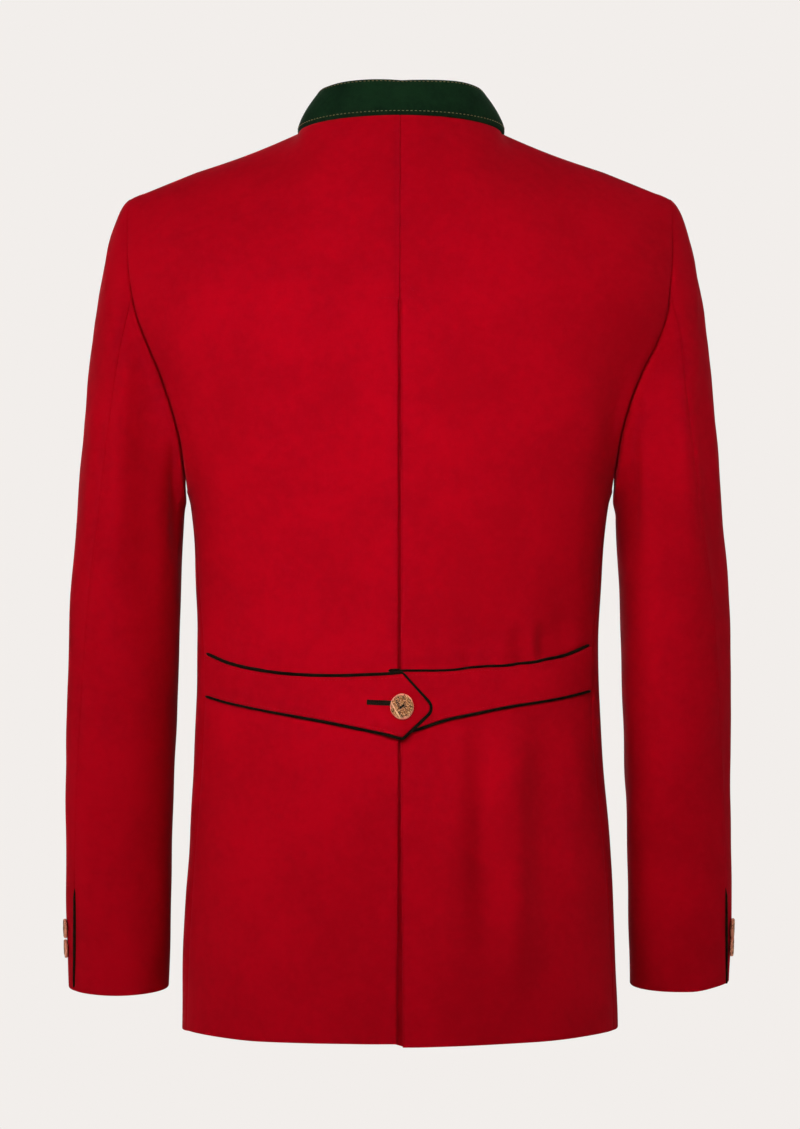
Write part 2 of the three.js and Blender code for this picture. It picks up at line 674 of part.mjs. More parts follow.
// The line inside the sleeve that its points face away from: it leans outwards and forwards.
const ARM_LINE = {
  top: { x: 196, y: -2, z: -200 },
  elbow: { x: 228, z: -500 },
  wrist: { y: -25, z: -680 },
};

function sleeveAxis(side) {
  const { top, elbow, wrist } = ARM_LINE;
  return (point) => vec(
    side * THREE.MathUtils.mapLinear(THREE.MathUtils.clamp(point.z, elbow.z, top.z),
      top.z, elbow.z, top.x, elbow.x),
    THREE.MathUtils.mapLinear(THREE.MathUtils.clamp(point.z, wrist.z, top.z),
      top.z, wrist.z, top.y, wrist.y),
    point.z > top.z ? (point.z + top.z) / 2 : point.z,
  );
}

function sleevePiece(form, columns, side) {
  const picked = form.rows.map((row) => columns.map((j) => row[j % row.length]));
  const grid = side > 0 ? picked : mirrored(picked);
  const rows = inset(grid, ["first row", "first column", "last column"]);
  return clothWall(rows, gridNormals(rows, sleeveAxis(side)));
}

// ---------------------------------------------------------------- back belt
// A place on a panel's facets: x along its rows and z down its columns.
function onPanel(panel, side, x, z) {
  const across = (row) => {
    let j = 0;
    while (j < row.length - 2 && Math.abs(row[j + 1].x) < Math.abs(x)) j += 1;
    return [j, (x - row[j].x) / (row[j + 1].x - row[j].x)];
  };
  let i = 0;
  while (i < panel.grid.length - 2 && panel.grid[i + 1][0].z > z) i += 1;
  const place = (row) => {
    const [j, k] = across(panel.grid[row]);
    return {
      p: panel.grid[row][j].clone().lerp(panel.grid[row][j + 1], k),
      n: panel.normals[row][j].clone().lerp(panel.normals[row][j + 1], k),
    };
  };
  const above = place(i);
  const under = place(i + 1);
  const k = (z - above.p.z) / (under.p.z - above.p.z);
  return { p: above.p.lerp(under.p, k), n: above.n.lerp(under.n, k).normalize() };
}

const backPlace = (panels, x, z) => (x >= 0 ? onPanel(panels.left, 1, x, z)
  : onPanel(panels.right, -1, x, z));

const lapHeight = 2 * BELT_GAP + BELT_THICK;
const liftOver = (x) => mix(BELT_GAP, lapHeight, ease(BELT_LAP.flat, BELT_LAP.over, x));

// A tab's face as a grid: rows over its width, columns along it.
function beltGrid(panels, columns, lift) {
  const places = steps(3).map((share) => columns.map((c) =>
    backPlace(panels, c.x, mix(c.top, c.bottom, share))));
  const grid = places.map((row) => row.map((place) =>
    place.p.clone().addScaledVector(place.n, lift(place.p.x) + BELT_THICK)));
  return { grid, normals: places.map((row) => row.map((place) => place.n)) };
}

// Columns of a tab: its ends, the panel's own columns between them, and one close to the centre.
function beltColumns(table, panel) {
  const [start, end] = [table[0].x, table.at(-1).x];
  const waist = panel.grid.find((row) => row[0].z < table[0].top);
  const climb = (BELT_LAP.over + 1) * Math.sign(start);
  const least = 0.5; // between two columns
  const own = [...waist.map((p) => p.x), climb].filter((x) =>
    (x - start) * (x - end) < 0 && Math.abs(x - start) > least && Math.abs(x - end) > least);
  return [start, ...own.sort((a, b) => (a - b) * Math.sign(end - start)), end].map((x) =>
    ({ x, top: read(table, "x", x, "top"), bottom: read(table, "x", x, "bottom") }));
}

// The left tab ends in a point with a blunt tip.
function leftBeltColumns(panel) {
  const end = BELT_LEFT.at(-1);
  const body = beltColumns(BELT_LEFT, panel);
  const point = steps(3).slice(1).map((k) => ({
    x: mix(end.x, BELT_POINT.x, k),
    top: mix(end.top, BELT_POINT.z + BELT_POINT.blunt, k),
    bottom: mix(end.bottom, BELT_POINT.z - BELT_POINT.blunt, k),
  }));
  return [...body, ...point];
}

// A piping bar along a line of places on the belt's edge, lying just outside it.
function piping(panels, line, lift) {
  const rings = line.map((at, i) => {
    const before = line[Math.max(i - 1, 0)];
    const after = line[Math.min(i + 1, line.length - 1)];
    const out = new THREE.Vector2(before.z - after.z, after.x - before.x).normalize();
    const turn = 1 / Math.max(0.75, Math.cos(cornerAngle(before, at, after) / 2));
    return [[0, 0], [1, 0], [1, 1], [0, 1]].map(([wide, high]) => {
      const reach = (SEAM + PIPING.wide * wide) * turn;
      const place = backPlace(panels, at.x + out.x * reach, at.z + out.y * reach);
      return place.p.addScaledVector(place.n, lift(at.x) + PIPING.lift + PIPING.high * high);
    });
  });
  return bar(rings);
}

function cornerAngle(before, at, after) {
  const a = new THREE.Vector2(at.x - before.x, at.z - before.z);
  const b = new THREE.Vector2(after.x - at.x, after.z - at.z);
  if (a.length() === 0 || b.length() === 0) return 0;
  return Math.acos(THREE.MathUtils.clamp(a.normalize().dot(b.normalize()), -1, 1));
}

// ---------------------------------------------------------------- buttons and cuff trim
// A staghorn disc: flat below, rounded rim, slightly domed and unevenly worn face.
function buttonGeometry(diameter) {
  const r = diameter / 2;
  const profile = [[0, 0], [r * 0.8, 0], [r, 0.9], [r * 0.96, 2.6], [r * 0.7, 3.5], [0, 3.3]];
  const disc = new THREE.LatheGeometry(profile.map(([x, y]) => new THREE.Vector2(x, y)), 14);
  return disc.rotateX(Math.PI / 2);
}

// A mesh whose own +Z points along the normal, standing on a place.
function placed(name, geometry, colour, place, lift) {
  const mesh = piece(name, geometry, colour);
  mesh.position.copy(place.p).addScaledVector(place.n, lift);
  mesh.quaternion.setFromUnitVectors(vec(0, 0, 1), place.n);
  return mesh;
}

function piece(name, geometry, colour, roughness = 0.9) {
  const material = new THREE.MeshStandardMaterial({ color: colour, roughness, metalness: 0 });
  const mesh = new THREE.Mesh(geometry, material);
  mesh.name = name;
  return mesh;
}

function sleevePlace(z, angle, side) {
  const p = sleeveRing(z, angle);
  const along = sleeveRing(z, angle + 1).sub(sleeveRing(z, angle - 1));
  const down = sleeveRing(z - 2, angle).sub(sleeveRing(z + 2, angle));
  const n = down.cross(along).normalize();
  if (n.x < 0) n.negate();
  return { p: vec(side * p.x, p.y, p.z), n: vec(side * n.x, n.y, n.z) };
}

// The green edge of the cuff's vent, a flat bar lying on the back seam of the sleeve.
function ventPiping(form, side) {
  const first = form.rows.findIndex((row) => row[0].z < VENT.top) - 1;
  const rows = form.rows.slice(first);
  const at = (row, turn) => row[form.backSeam].clone().lerp(row[form.backSeam + turn], VENT.beside);
  const rings = rows.map((row, i) => {
    const z = THREE.MathUtils.clamp(row[0].z, VENT.bottom, VENT.top);
    const k = i === 0 ? (z - row[0].z) / (rows[1][0].z - row[0].z) : 0;
    const centre = row[form.backSeam].clone();
    if (k) centre.lerp(rows[1][form.backSeam], k);
    centre.z = z;
    const out = at(row, 1).sub(at(row, -1)).normalize();
    const n = vec(out.y, -out.x, 0).normalize();
    if (n.x < 0) n.negate();
    return [[-1, 0], [1, 0], [1, 1], [-1, 1]].map(([wide, high]) => {
      const p = centre.clone().addScaledVector(out, (wide * VENT.wide) / 2)
        .addScaledVector(n, VENT.lift + VENT.high * high);
      return vec(side * p.x, p.y, p.z);
    });
  });
  return bar(rings);
}

// ---------------------------------------------------------------- the jacket
const jacket = new THREE.Group();
const panels = { left: backPanel(1), right: backPanel(-1) };
const fronts = { left: frontPanel(1), right: frontPanel(-1) };
const sleeve = sleeveForm();

jacket.add(piece("back_left", panels.left.geometry, RED));
jacket.add(piece("back_right", panels.right.geometry, RED));
jacket.add(piece("pleat_underlay", pleatUnderlay(panels.left, panels.right), DARK_RED));
jacket.add(piece("front_left", fronts.left.geometry, RED));
jacket.add(piece("front_right", fronts.right.geometry, RED));
jacket.add(piece("collar", collarGeometry(), GREEN));

const around = sleeve.rows[0].length;
const topColumns = range(sleeve.frontSeam, around + sleeve.backSeam);
const underColumns = range(sleeve.backSeam, sleeve.frontSeam);
for (const [name, side] of [["left", 1], ["right", -1]]) {
  jacket.add(piece(`top_sleeve_${name}`, sleevePiece(sleeve, topColumns, side), RED));
  jacket.add(piece(`under_sleeve_${name}`, sleevePiece(sleeve, underColumns, side), RED));
  jacket.add(piece(`vent_piping_${name}`, ventPiping(sleeve, side), GREEN));
  CUFF_BUTTONS.heights.forEach((z, i) => {
    const place = sleevePlace(z, CUFF_BUTTONS.angle, side);
    jacket.add(placed(`cuff_button_${name}_${i + 1}`, buttonGeometry(BUTTON.cuff), HORN, place,
      BUTTON.lift));
  });
}

const leftColumns = leftBeltColumns(panels.left);
const leftBelt = beltGrid(panels, leftColumns, liftOver);
jacket.add(piece("belt_left", clothWall(leftBelt.grid, leftBelt.normals, BELT_THICK), RED));
const rightColumns = beltColumns(BELT_RIGHT, panels.right);
const rightBelt = beltGrid(panels, rightColumns, () => BELT_GAP);
jacket.add(piece("belt_right", clothWall(rightBelt.grid, rightBelt.normals, BELT_THICK), RED));

const edge = (columns, name) => columns.map((c) => ({ x: c.x, z: c[name] }));
const leftEdge = [...edge(leftColumns, "top"), ...edge(leftColumns, "bottom").reverse()];
jacket.add(piece("belt_left_piping", piping(panels, leftEdge.reverse(), liftOver), GREEN));
jacket.add(piece("belt_right_piping_top",
  piping(panels, edge(rightColumns, "top").reverse(), () => BELT_GAP), GREEN));
jacket.add(piece("belt_right_piping_bottom",
  piping(panels, edge(rightColumns, "bottom"), () => BELT_GAP), GREEN));

const beltPlace = backPlace(panels, BELT_BUTTON.x, BELT_BUTTON.z);
jacket.add(placed("belt_button", buttonGeometry(BUTTON.belt), HORN, beltPlace,
  lapHeight + BELT_THICK + BUTTON.lift));
FRONT_BUTTONS.forEach((z, i) => {
  const place = onPanel(fronts.left, 1, 0.01, z);
  jacket.add(placed(`front_button_${i + 1}`, buttonGeometry(BUTTON.front), HORN, place,
    BUTTON.lift));
});

export default jacket;
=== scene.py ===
import math
import bpy
import numpy as np
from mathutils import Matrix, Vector

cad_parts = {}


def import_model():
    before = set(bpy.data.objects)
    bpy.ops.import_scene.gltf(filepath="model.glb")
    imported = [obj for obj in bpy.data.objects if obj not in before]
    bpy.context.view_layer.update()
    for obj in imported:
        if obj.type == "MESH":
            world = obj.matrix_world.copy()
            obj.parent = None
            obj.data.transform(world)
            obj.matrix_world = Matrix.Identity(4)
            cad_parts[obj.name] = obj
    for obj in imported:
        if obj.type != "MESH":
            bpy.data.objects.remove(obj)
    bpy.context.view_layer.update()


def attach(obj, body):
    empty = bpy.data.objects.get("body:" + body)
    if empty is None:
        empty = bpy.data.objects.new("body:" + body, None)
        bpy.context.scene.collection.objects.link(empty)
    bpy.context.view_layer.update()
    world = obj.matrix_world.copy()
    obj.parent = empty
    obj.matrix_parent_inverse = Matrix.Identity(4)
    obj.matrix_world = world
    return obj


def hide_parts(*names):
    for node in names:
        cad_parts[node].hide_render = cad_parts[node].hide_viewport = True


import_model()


# ================================================================ the back
# Two panels of felted wool, 2 mm thick, cut to the shoulder, armhole and side seams. They are sewn
# to each other down the centre as far as the pleat's top. Below it each one is folded under along
# the centre and pressed, so that the two folds meet as an inverted pleat that opens a little.
MM = 0.001  # sizes are in millimetres, and meshes in metres
WALL = 2.0  # wool cloth
SEAM = 0.3  # space between two pieces that are sewn together
BACK_FULLNESS = 2.35  # exponent of the rounded body sections
FRONT_FULLNESS = 2.3
UNDERARM = -293
HEM = -726
TOP_ROW = -130  # below this height the rows are level, and above it they rise to the shoulder


def table(columns, *rows):
    """A short table as one list for each named column."""
    return {name: [row[i] for row in rows] for i, name in enumerate(columns.split())}


ARMHOLE = table(
    "z x back front",
    (-130, 215.5, 51, 58),
    (-150, 211.5, 54.5, 63),
    (-175, 202, 57.5, 65),
    (-200, 191.5, 58.5, 63),
    (-225, 183, 56.5, 57),
    (-248, 177, 51, 46),
    (-268, 174, 42, 28),
    (-284, 172.2, 30, 6),
    (UNDERARM, 171.5, 14, -14),
)
SIDE = table(
    "z half seam",
    (UNDERARM, 172, 14),
    (-303, 169, 16),
    (-331, 165.5, 21),
    (-364, 164, 27),
    (-412, 162.5, 34),
    (-461, 163, 38),
    (-526, 166.2, 40),
    (-590, 171, 41),
    (-655, 174.6, 42),
    (HEM, 176.8, 43),
)
DEPTH = table(
    "z back front",
    (-130, 114, 100),
    (-160, 119, 112),
    (-200, 122, 123),
    (-250, 121, 131),
    (UNDERARM, 117, 134),
    (-364, 107, 133),
    (-437, 99, 130),
    (-493, 104, 131),
    (-558, 115, 135),
    (-623, 125, 139),
    (-688, 133, 143),
    (HEM, 137, 145),
)
NECK = {
    "half": 82, "back": 60, "front": 76, "rise": 10, "drop": 68, "side": -2, "scoop": 1.25,
    "soften": 26, "soften_along": 42,
}
SHOULDER = {"x": 219, "z": -55.6, "arch": 0.9, "dip": 1.9}
# How the cloth leaves the neck and shoulder, and how firmly it arrives at the level rows.
LEAVE = {
    "back": {"centre": (0, 75, -105), "neck": (0, 105, -16), "tip": (0, 66, -12)},
    "front": {"centre": (0, -20, -58), "neck": (0, -92, -8), "tip": (0, -72, -8)},
}
ARRIVE = {"back": {"centre": 135, "tip": 84}, "front": {"centre": 66, "tip": 84}}
SHOULDER_ROWS = {"length": 110, "first": 0.07, "count": 26}  # between the shoulder and the level rows
BODY_COLUMNS = (25, 33)  # as far as the neck point, and from there to the other edge
CENTRE_CROWD = 1.1  # columns stand a little closer at the centre

# Soft folds: a line from one place to another on the panel, its half width, and how far the cloth
# stands out there (in, when negative). x is the wearer's left.
BACK_FOLDS = table(
    "x1 z1 x2 z2 half out",
    (-91, -470, -92, -680, 13, 6.6),
    (-65, -474, -66, -670, 12, -5.6),
    (-42, -478, -40, -660, 13, 2.2),
    (-120, -466, -122, -660, 15, -4.6),
    (-138, -472, -138, -648, 14, 1.8),
    (72, -472, 72, -698, 22, 2.2),
    (116, -468, 116, -658, 20, -1.8),
    (-64, -352, -64, -438, 17, -2.4),
    (-126, -344, -126, -430, 16, -2.2),
    (84, -358, 84, -440, 20, -1.6),
    # hollows beside the armholes
    (-182, -160, -168, -262, 17, -3.4),
    (-152, -196, -146, -300, 20, 1.6),
    (184, -168, 170, -262, 16, -2.4),
    (154, -200, 146, -296, 20, 1.2),
    # short dimples over the belt where it draws the waist in
    (-54, -414, -56, -440, 6, -3.0),
    (-69, -414, -71, -440, 5, -2.8),
    (-94, -404, -97, -438, 7, -3.8),
    (-118, -398, -117, -434, 8, -5.0),
    (-106, -398, -108, -434, 6, 2.2),
    (-138, -372, -131, -424, 10, -4.0),
    (112, -404, 106, -434, 12, -1.2),
    (139, -376, 135, -428, 11, -3.6),
    # long hollows in the skirt
    (-96, -500, -122, -640, 18, -1.6),
    (-40, -520, -34, -700, 16, 1.2),
    (-146, -560, -152, -700, 16, -1.2),
    (40, -560, 36, -704, 18, 0.9),
    (150, -520, 152, -690, 18, -1.0),
    (96, -600, 92, -716, 18, -1.0),
    # drawn lines from the shoulder blades
    (-120, -96, -60, -190, 26, 1.2),
    (124, -98, 66, -200, 28, 1.0),
)
WAVES = table(  # slight unevenness all over: lengths across and down, turn, height
    "across down turn high",
    (96, 210, 0.3, 0.45),
    (63, 128, 1.9, 0.3),
    (41, 77, 4.1, 0.18),
    (140, 66, 2.6, 0.2),
)
PLEAT = {
    "top": -142, "depth": 35, "allowance": 8, "fold": 2.3, "seam_fold": 1.15, "layer": 5.2,
    "half": 36, "underlay": 1.8, "open_top": 0.85, "open_hem": 2.1, "open_from": -520,
}
HEM_DROP = {1: 0, -1: 2.6}  # the panels hang unevenly at the pleat
EDGE_STEPS = np.array([0, 0.25, 0.6, 1.1, 1.8, 2.8, 4.2])  # columns crowd at an edge
SEAM_ROLL = {"round": 1.15, "hollow": 0.4, "reach": 3.2}  # how the cloth turns in at a seam
HEM_ROLL = {"round": 1.0, "hollow": 0.0, "reach": 1.0}
ARMHOLE_ROLL = {"round": 0.75, "hollow": 0.25, "reach": 2.6}
ARMHOLE_SWELL = {"at": 7, "half": 4.5, "out": 0.5}
SHOULDER_POINT = {"from": -70, "to": -57, "least": 0.3}  # the armhole's seam is flatter up there
SEAM_CALM = 14  # folds die away within this distance from a seam
HEM_PINCH = 0.98  # how far the rounding closes a hem up
THIN_EDGE = 0.04  # what is left of the thickness where both faces round towards each other
FOLD_FILL = 0.85  # how much of a pressed fold's radius is cloth


def mix(a, b, k):
    return a + (b - a) * k


def ease(start, end, at):
    k = np.clip((at - start) / (end - start), 0, 1)
    return k * k * (3 - 2 * k)


def hermite(a, leave, b, arrive, u):
    return (
        (2 * u**3 - 3 * u**2 + 1) * a + (u**3 - 2 * u**2 + u) * leave
        + (3 * u**2 - 2 * u**3) * b + (u**3 - u**2) * arrive
    )


def read(rows, name, at, by="z"):
    """Smooth reading of one column of a table at one place."""
    keys, values = rows[by], rows[name]
    down = -1 if keys[0] > keys[-1] else 1
    i = 0
    while i < len(keys) - 2 and (at - keys[i + 1]) * down > 0:
        i += 1

    def slope(k):
        a, b = max(k - 1, 0), min(k + 1, len(keys) - 1)
        return (values[b] - values[a]) / (keys[b] - keys[a])

    span = keys[i + 1] - keys[i]
    u = min(max((at - keys[i]) / span, 0), 1)
    return hermite(values[i], slope(i) * span, values[i + 1], slope(i + 1) * span, u)


def unit(vectors):
    return vectors / np.maximum(np.linalg.norm(vectors, axis=-1, keepdims=True), 1e-9)


def lengths_along(line):
    return np.concatenate([[0], np.cumsum(np.linalg.norm(np.diff(line, axis=0), axis=1))])


def sampled(line, along, at):
    """Points of a line, or values that follow it, at the given lengths along it."""
    return np.stack([np.interp(at, along, line[:, k]) for k in range(line.shape[1])], -1)


def spread(line, shares):
    """Points of a polyline at the given shares of its length."""
    lengths = lengths_along(line)
    return sampled(line, lengths, shares * lengths[-1])


def quarter(half, depth, fullness, shares, z):
    angle = shares * math.pi / 2
    x = half * np.sin(angle) ** (2 / fullness)
    y = depth * np.cos(angle) ** (2 / fullness)
    return np.stack([x, y, np.full_like(x, z)], 1)


def half_through(x, y, depth, fullness):
    return x / (1 - (abs(y) / depth) ** fullness) ** (1 / fullness)


def side_at(half, y, depth, fullness):
    return half * (1 - (y / depth) ** fullness) ** (1 / fullness)


def share_at(x, half, fullness):
    return math.asin(min((x / half) ** (fullness / 2), 1)) * 2 / math.pi


FINE = 240  # points of a section before it is spread over the columns


def back_section(z):
    depth = read(DEPTH, "back", z)
    if z > UNDERARM:
        edge = read(ARMHOLE, "x", z)
        half = half_through(edge, read(ARMHOLE, "back", z), depth, BACK_FULLNESS)
    else:
        half = read(SIDE, "half", z)
        edge = side_at(half, read(SIDE, "seam", z), depth, BACK_FULLNESS)
    shares = np.linspace(0, share_at(edge, half, BACK_FULLNESS), FINE)
    return quarter(half, depth, BACK_FULLNESS, shares, z)


def front_section(z):
    depth = read(DEPTH, "front", z)
    turn = np.array([1, -1, 1])
    if z > UNDERARM:
        edge_x, edge_y = read(ARMHOLE, "x", z), -read(ARMHOLE, "front", z)
    else:
        edge_x, edge_y = 0, read(SIDE, "seam", z)
    if edge_y < 0:
        half = half_through(edge_x, edge_y, depth, FRONT_FULLNESS)
        shares = np.linspace(0, share_at(edge_x, half, FRONT_FULLNESS), FINE)
        return quarter(half, depth, FRONT_FULLNESS, shares, z) * turn
    back_depth = read(DEPTH, "back", z)
    half = read(SIDE, "half", z)
    if z > UNDERARM:
        half = half_through(edge_x, edge_y, back_depth, BACK_FULLNESS)
    edge = side_at(half, edge_y, back_depth, BACK_FULLNESS)
    before = quarter(half, depth, FRONT_FULLNESS, np.linspace(0, 1, FINE), z) * turn
    shares = np.linspace(1, share_at(edge, half, BACK_FULLNESS), FINE // 4)[1:]
    return np.concatenate([before, quarter(half, back_depth, BACK_FULLNESS, shares, z)])


def neck_points(angles):
    """The neck ring: angle 0 is the centre back, 90 the neck point, 180 the centre front."""
    c, s = np.cos(np.radians(angles)), np.sin(np.radians(angles))
    ahead, behind = np.maximum(-c, 0), np.maximum(c, 0)
    return np.stack([
        NECK["half"] * s,
        NECK["back"] * behind - NECK["front"] * ahead,
        NECK["side"] + NECK["rise"] * behind - NECK["drop"] * ahead ** NECK["scoop"],
    ], -1)


def shoulder_points(shares):
    return np.stack([
        mix(NECK["half"], SHOULDER["x"], shares),
        0 * shares,
        mix(NECK["side"], SHOULDER["z"], shares) + SHOULDER["arch"] * np.sin(math.pi * shares)
        - SHOULDER["dip"] * np.sin(math.pi * np.minimum(shares / 0.6, 1)),
    ], -1)


def level_heights(spacing=4.6):
    """Heights of the level rows: close together at the pleat's top and at the hem."""
    marks = [TOP_ROW, PLEAT["top"] + 3, PLEAT["top"] - 8, UNDERARM, HEM + 4.2]
    gaps = [3, 1.4, spacing, spacing]
    heights = [
        np.linspace(a, b, max(int(abs(b - a) / gap), 2) + 1)[:-1]
        for a, b, gap in zip(marks, marks[1:], gaps)
    ]
    return np.concatenate([*heights, HEM + EDGE_STEPS[::-1]])


def softened(row, middle, radius):
    """A row of points whose bend near one place is eased over a radius."""
    along = lengths_along(row)
    near = np.exp(-(((along[:, None] - along) / max(radius, 0.01)) ** 2)) * np.gradient(along)
    smooth = near @ row / near.sum(1)[:, None]
    return mix(row, smooth, np.exp(-(((along - along[middle]) / NECK["soften_along"]) ** 2))[:, None])


def body_form(face, start, columns=BODY_COLUMNS):
    """Points of one body panel on the wearer's left, rows from the shoulder to the hem.
    start(z) is how far past the centre the first column lies."""
    heights = level_heights()
    centre = 0 if face == "back" else 180
    section = back_section if face == "back" else front_section
    neck_length = lengths_along(neck_points(np.linspace(centre, 90, 60)))[-1]
    shoulder_length = np.linalg.norm(shoulder_points(np.ones(1)) - shoulder_points(np.zeros(1)))
    neck_share = neck_length / (neck_length + shoulder_length)

    def shares(length, z):
        first = start(z) / length
        last = 1 - EDGE_STEPS[::-1] / length
        return np.concatenate([
            first + (neck_share - first) * np.linspace(0, 1, columns[0]) ** CENTRE_CROWD,
            np.linspace(neck_share, last[0], columns[1])[1:-1],
            last,
        ])

    level, below = section(TOP_ROW), section(TOP_ROW - 1)
    level_length = lengths_along(level)[-1]
    way = {name: np.array(v, float) for name, v in LEAVE[face].items()}
    steps_down = np.concatenate([
        EDGE_STEPS / SHOULDER_ROWS["length"],
        np.linspace(SHOULDER_ROWS["first"], 1, SHOULDER_ROWS["count"])[:-1],
    ])
    rows = []
    for u in steps_down:
        t = shares(mix(neck_length + shoulder_length, level_length, u), TOP_ROW)
        to_neck = np.minimum(t / neck_share, 1)
        to_tip = np.maximum((t - neck_share) / (1 - neck_share), 0)
        top = np.where(
            (t < neck_share)[:, None],
            neck_points(mix(centre, 90, to_neck)), shoulder_points(to_tip),
        )
        leave = mix(way["centre"], way["neck"], to_neck[:, None])
        leave = mix(leave, way["tip"], to_tip[:, None] ** 2)
        reach = mix(ARRIVE[face]["centre"], ARRIVE[face]["tip"], ((to_neck + to_tip) / 2) ** 2)
        end = spread(level, t)
        arrive = (spread(below, t) - end) * reach[:, None]
        radius = NECK["soften"] * ease(0, 0.4, u) * ease(1, 0.75, u)
        rows.append(softened(hermite(top, leave, end, arrive, u), columns[0] - 1, radius))
    for z in heights:
        line = section(z)
        rows.append(spread(line, shares(lengths_along(line)[-1], z)))
    return np.array(rows)


def grid_normals(grid, outward):
    """Normals of a grid of points, turned so that they mostly point along outward."""
    normals = unit(np.cross(np.gradient(grid, axis=1), np.gradient(grid, axis=0)))
    return normals * np.sign((normals * outward).sum(-1).mean())


def from_edges(grid):
    """Distances of a grid's points from its first and last row and first and last column."""
    down = np.linalg.norm(np.diff(grid, axis=0), axis=2)
    across = np.linalg.norm(np.diff(grid, axis=1), axis=2)
    top = np.concatenate([np.zeros((1, grid.shape[1])), np.cumsum(down, axis=0)])
    left = np.concatenate([np.zeros((grid.shape[0], 1)), np.cumsum(across, axis=1)], axis=1)
    return {"top": top, "bottom": top[-1:] - top, "first": left, "last": left[:, -1:] - left}


def roll(distance, way):
    """How far the cloth lies back at a distance from an edge that turns in."""
    r = way["round"]
    turn = r - np.sqrt(np.maximum(r * r - np.maximum(r - distance, 0) ** 2, 0))
    return turn + way["hollow"] * np.exp(-((distance / way["reach"]) ** 2))


def fold_share(x, z, line, half, ends):
    """1 on a fold's line, dying away beside it and towards its ends."""
    x1, z1, x2, z2 = line
    span = np.hypot(x2 - x1, z2 - z1)
    along = ((x - x1) * (x2 - x1) + (z - z1) * (z2 - z1)) / span**2
    off = ((x - x1) * (z2 - z1) - (z - z1) * (x2 - x1)) / span
    return np.exp(-((off / half) ** 2)) * ease(ends[0], 0.25, along) * ease(1.15, ends[1], along)


def folds_out(folds, x, z):
    return sum(
        high * fold_share(x, z, line, half, (-0.12, 0.7)) for *line, half, high in zip(*folds.values())
    )


def waves_out(x, z):
    return sum(
        high * np.sin(2 * math.pi * x / across + turn + 1.3 * np.sin(z / down))
        * np.cos(2 * math.pi * z / down + 2 * turn)
        for across, down, turn, high in zip(*WAVES.values())
    )


# Nothing hangs quite evenly: how far places are moved, to the wearer's left and up.
HANG = {
    "waist": 1.7, "right_armhole": -3.4, "right_sleeve": 1.0, "left_sleeve": 0.7,
    "left_cuff": (-1.2, -1.0), "right_cuff": (0.9, 3.0), "hem_sides": 1.3, "hem_centre": -0.9,
    "left_turn": 9, "right_turn": -7,  # how far back the outer sides of the sleeves' middle lie
}
SLEEVE_MIDDLE = {"x": 222, "half": 43}
BODY_EDGE = (169, 180)  # distances from the centre between which body ends and sleeves begin


def hang(points):
    """Moves points by the garment's unevenness, which changes slowly from place to place."""
    x, z = points[..., 0], points[..., 2]
    far = np.abs(x)
    sleeve = ease(*BODY_EDGE, far)
    body = 1 - sleeve
    # to the side: the waist, the back beside the right armhole, the lower sleeves
    waist = ease(50, 120, far) * body * np.exp(-(((z + 440) / 120) ** 2))
    near_arm = ease(-150, -190, x) * ease(-236, -214, x) * np.exp(-(((z + 168) / 30) ** 2))
    lower = np.where(x < 0, HANG["right_sleeve"], HANG["left_sleeve"] * ease(200, 260, x))
    moved = HANG["waist"] * waist + HANG["right_armhole"] * near_arm + sleeve * ease(-400, -520, z) * lower
    # up: the cuffs, tilted, and the hem
    left = HANG["left_cuff"][0] + HANG["left_cuff"][1] * ease(40, 0, np.abs(x - 228))
    right = HANG["right_cuff"][0] + HANG["right_cuff"][1] * ease(-236, -266, x)
    cuff = sleeve * ease(-640, -700, z) * np.where(x > 0, left, right)
    hem = body * ease(HEM + 70, HEM, z) * mix(HANG["hem_centre"], HANG["hem_sides"], ease(110, 172, far))
    # to the back and front: the sleeves' middle, turned about its own axis
    turn = np.where(x > 0, HANG["left_turn"], HANG["right_turn"])
    middle = ease(173, 186, far) * ease(-170, -330, z) * ease(-650, -540, z)
    lean = turn * middle * (far - SLEEVE_MIDDLE["x"]) / SLEEVE_MIDDLE["half"]
    return points + np.stack([moved, lean, cuff + hem], -1)


def drape(grid, outward, folds, shift):
    """Moves a panel's points out by its folds and unevenness, which die away at its seams."""
    edges = from_edges(grid)
    fade = ease(0, SEAM_CALM, np.minimum(edges["last"], edges["top"]))
    x, z = grid[..., 0], grid[..., 2]
    out = (folds_out(folds, x, z) + waves_out(x + shift, z)) * fade
    return hang(grid + grid_normals(grid, outward) * out[..., None])


def cloth_wall(outer, normals, thick):
    """Vertices and faces of a closed cloth wall whose outer face is a grid of points."""
    rows, columns = outer.shape[:2]
    inner = outer - normals * np.broadcast_to(thick, (rows, columns))[..., None]
    at = np.arange(rows * columns).reshape(rows, columns)
    quads = np.stack([at[:-1, :-1], at[:-1, 1:], at[1:, 1:], at[1:, :-1]], -1).reshape(-1, 4)
    rim = np.concatenate([at[0, :-1], at[:-1, -1], at[-1, :0:-1], at[:0:-1, 0]])
    after = np.roll(rim, -1)
    faces = np.concatenate([
        quads,
        quads[:, ::-1] + rows * columns,
        np.stack([after, rim, rim + rows * columns, after + rows * columns], 1),
    ])
    return np.concatenate([outer.reshape(-1, 3), inner.reshape(-1, 3)]), faces


def placed(name, data):
    made = bpy.data.objects.new(name, data)
    bpy.context.scene.collection.objects.link(made)
    return made


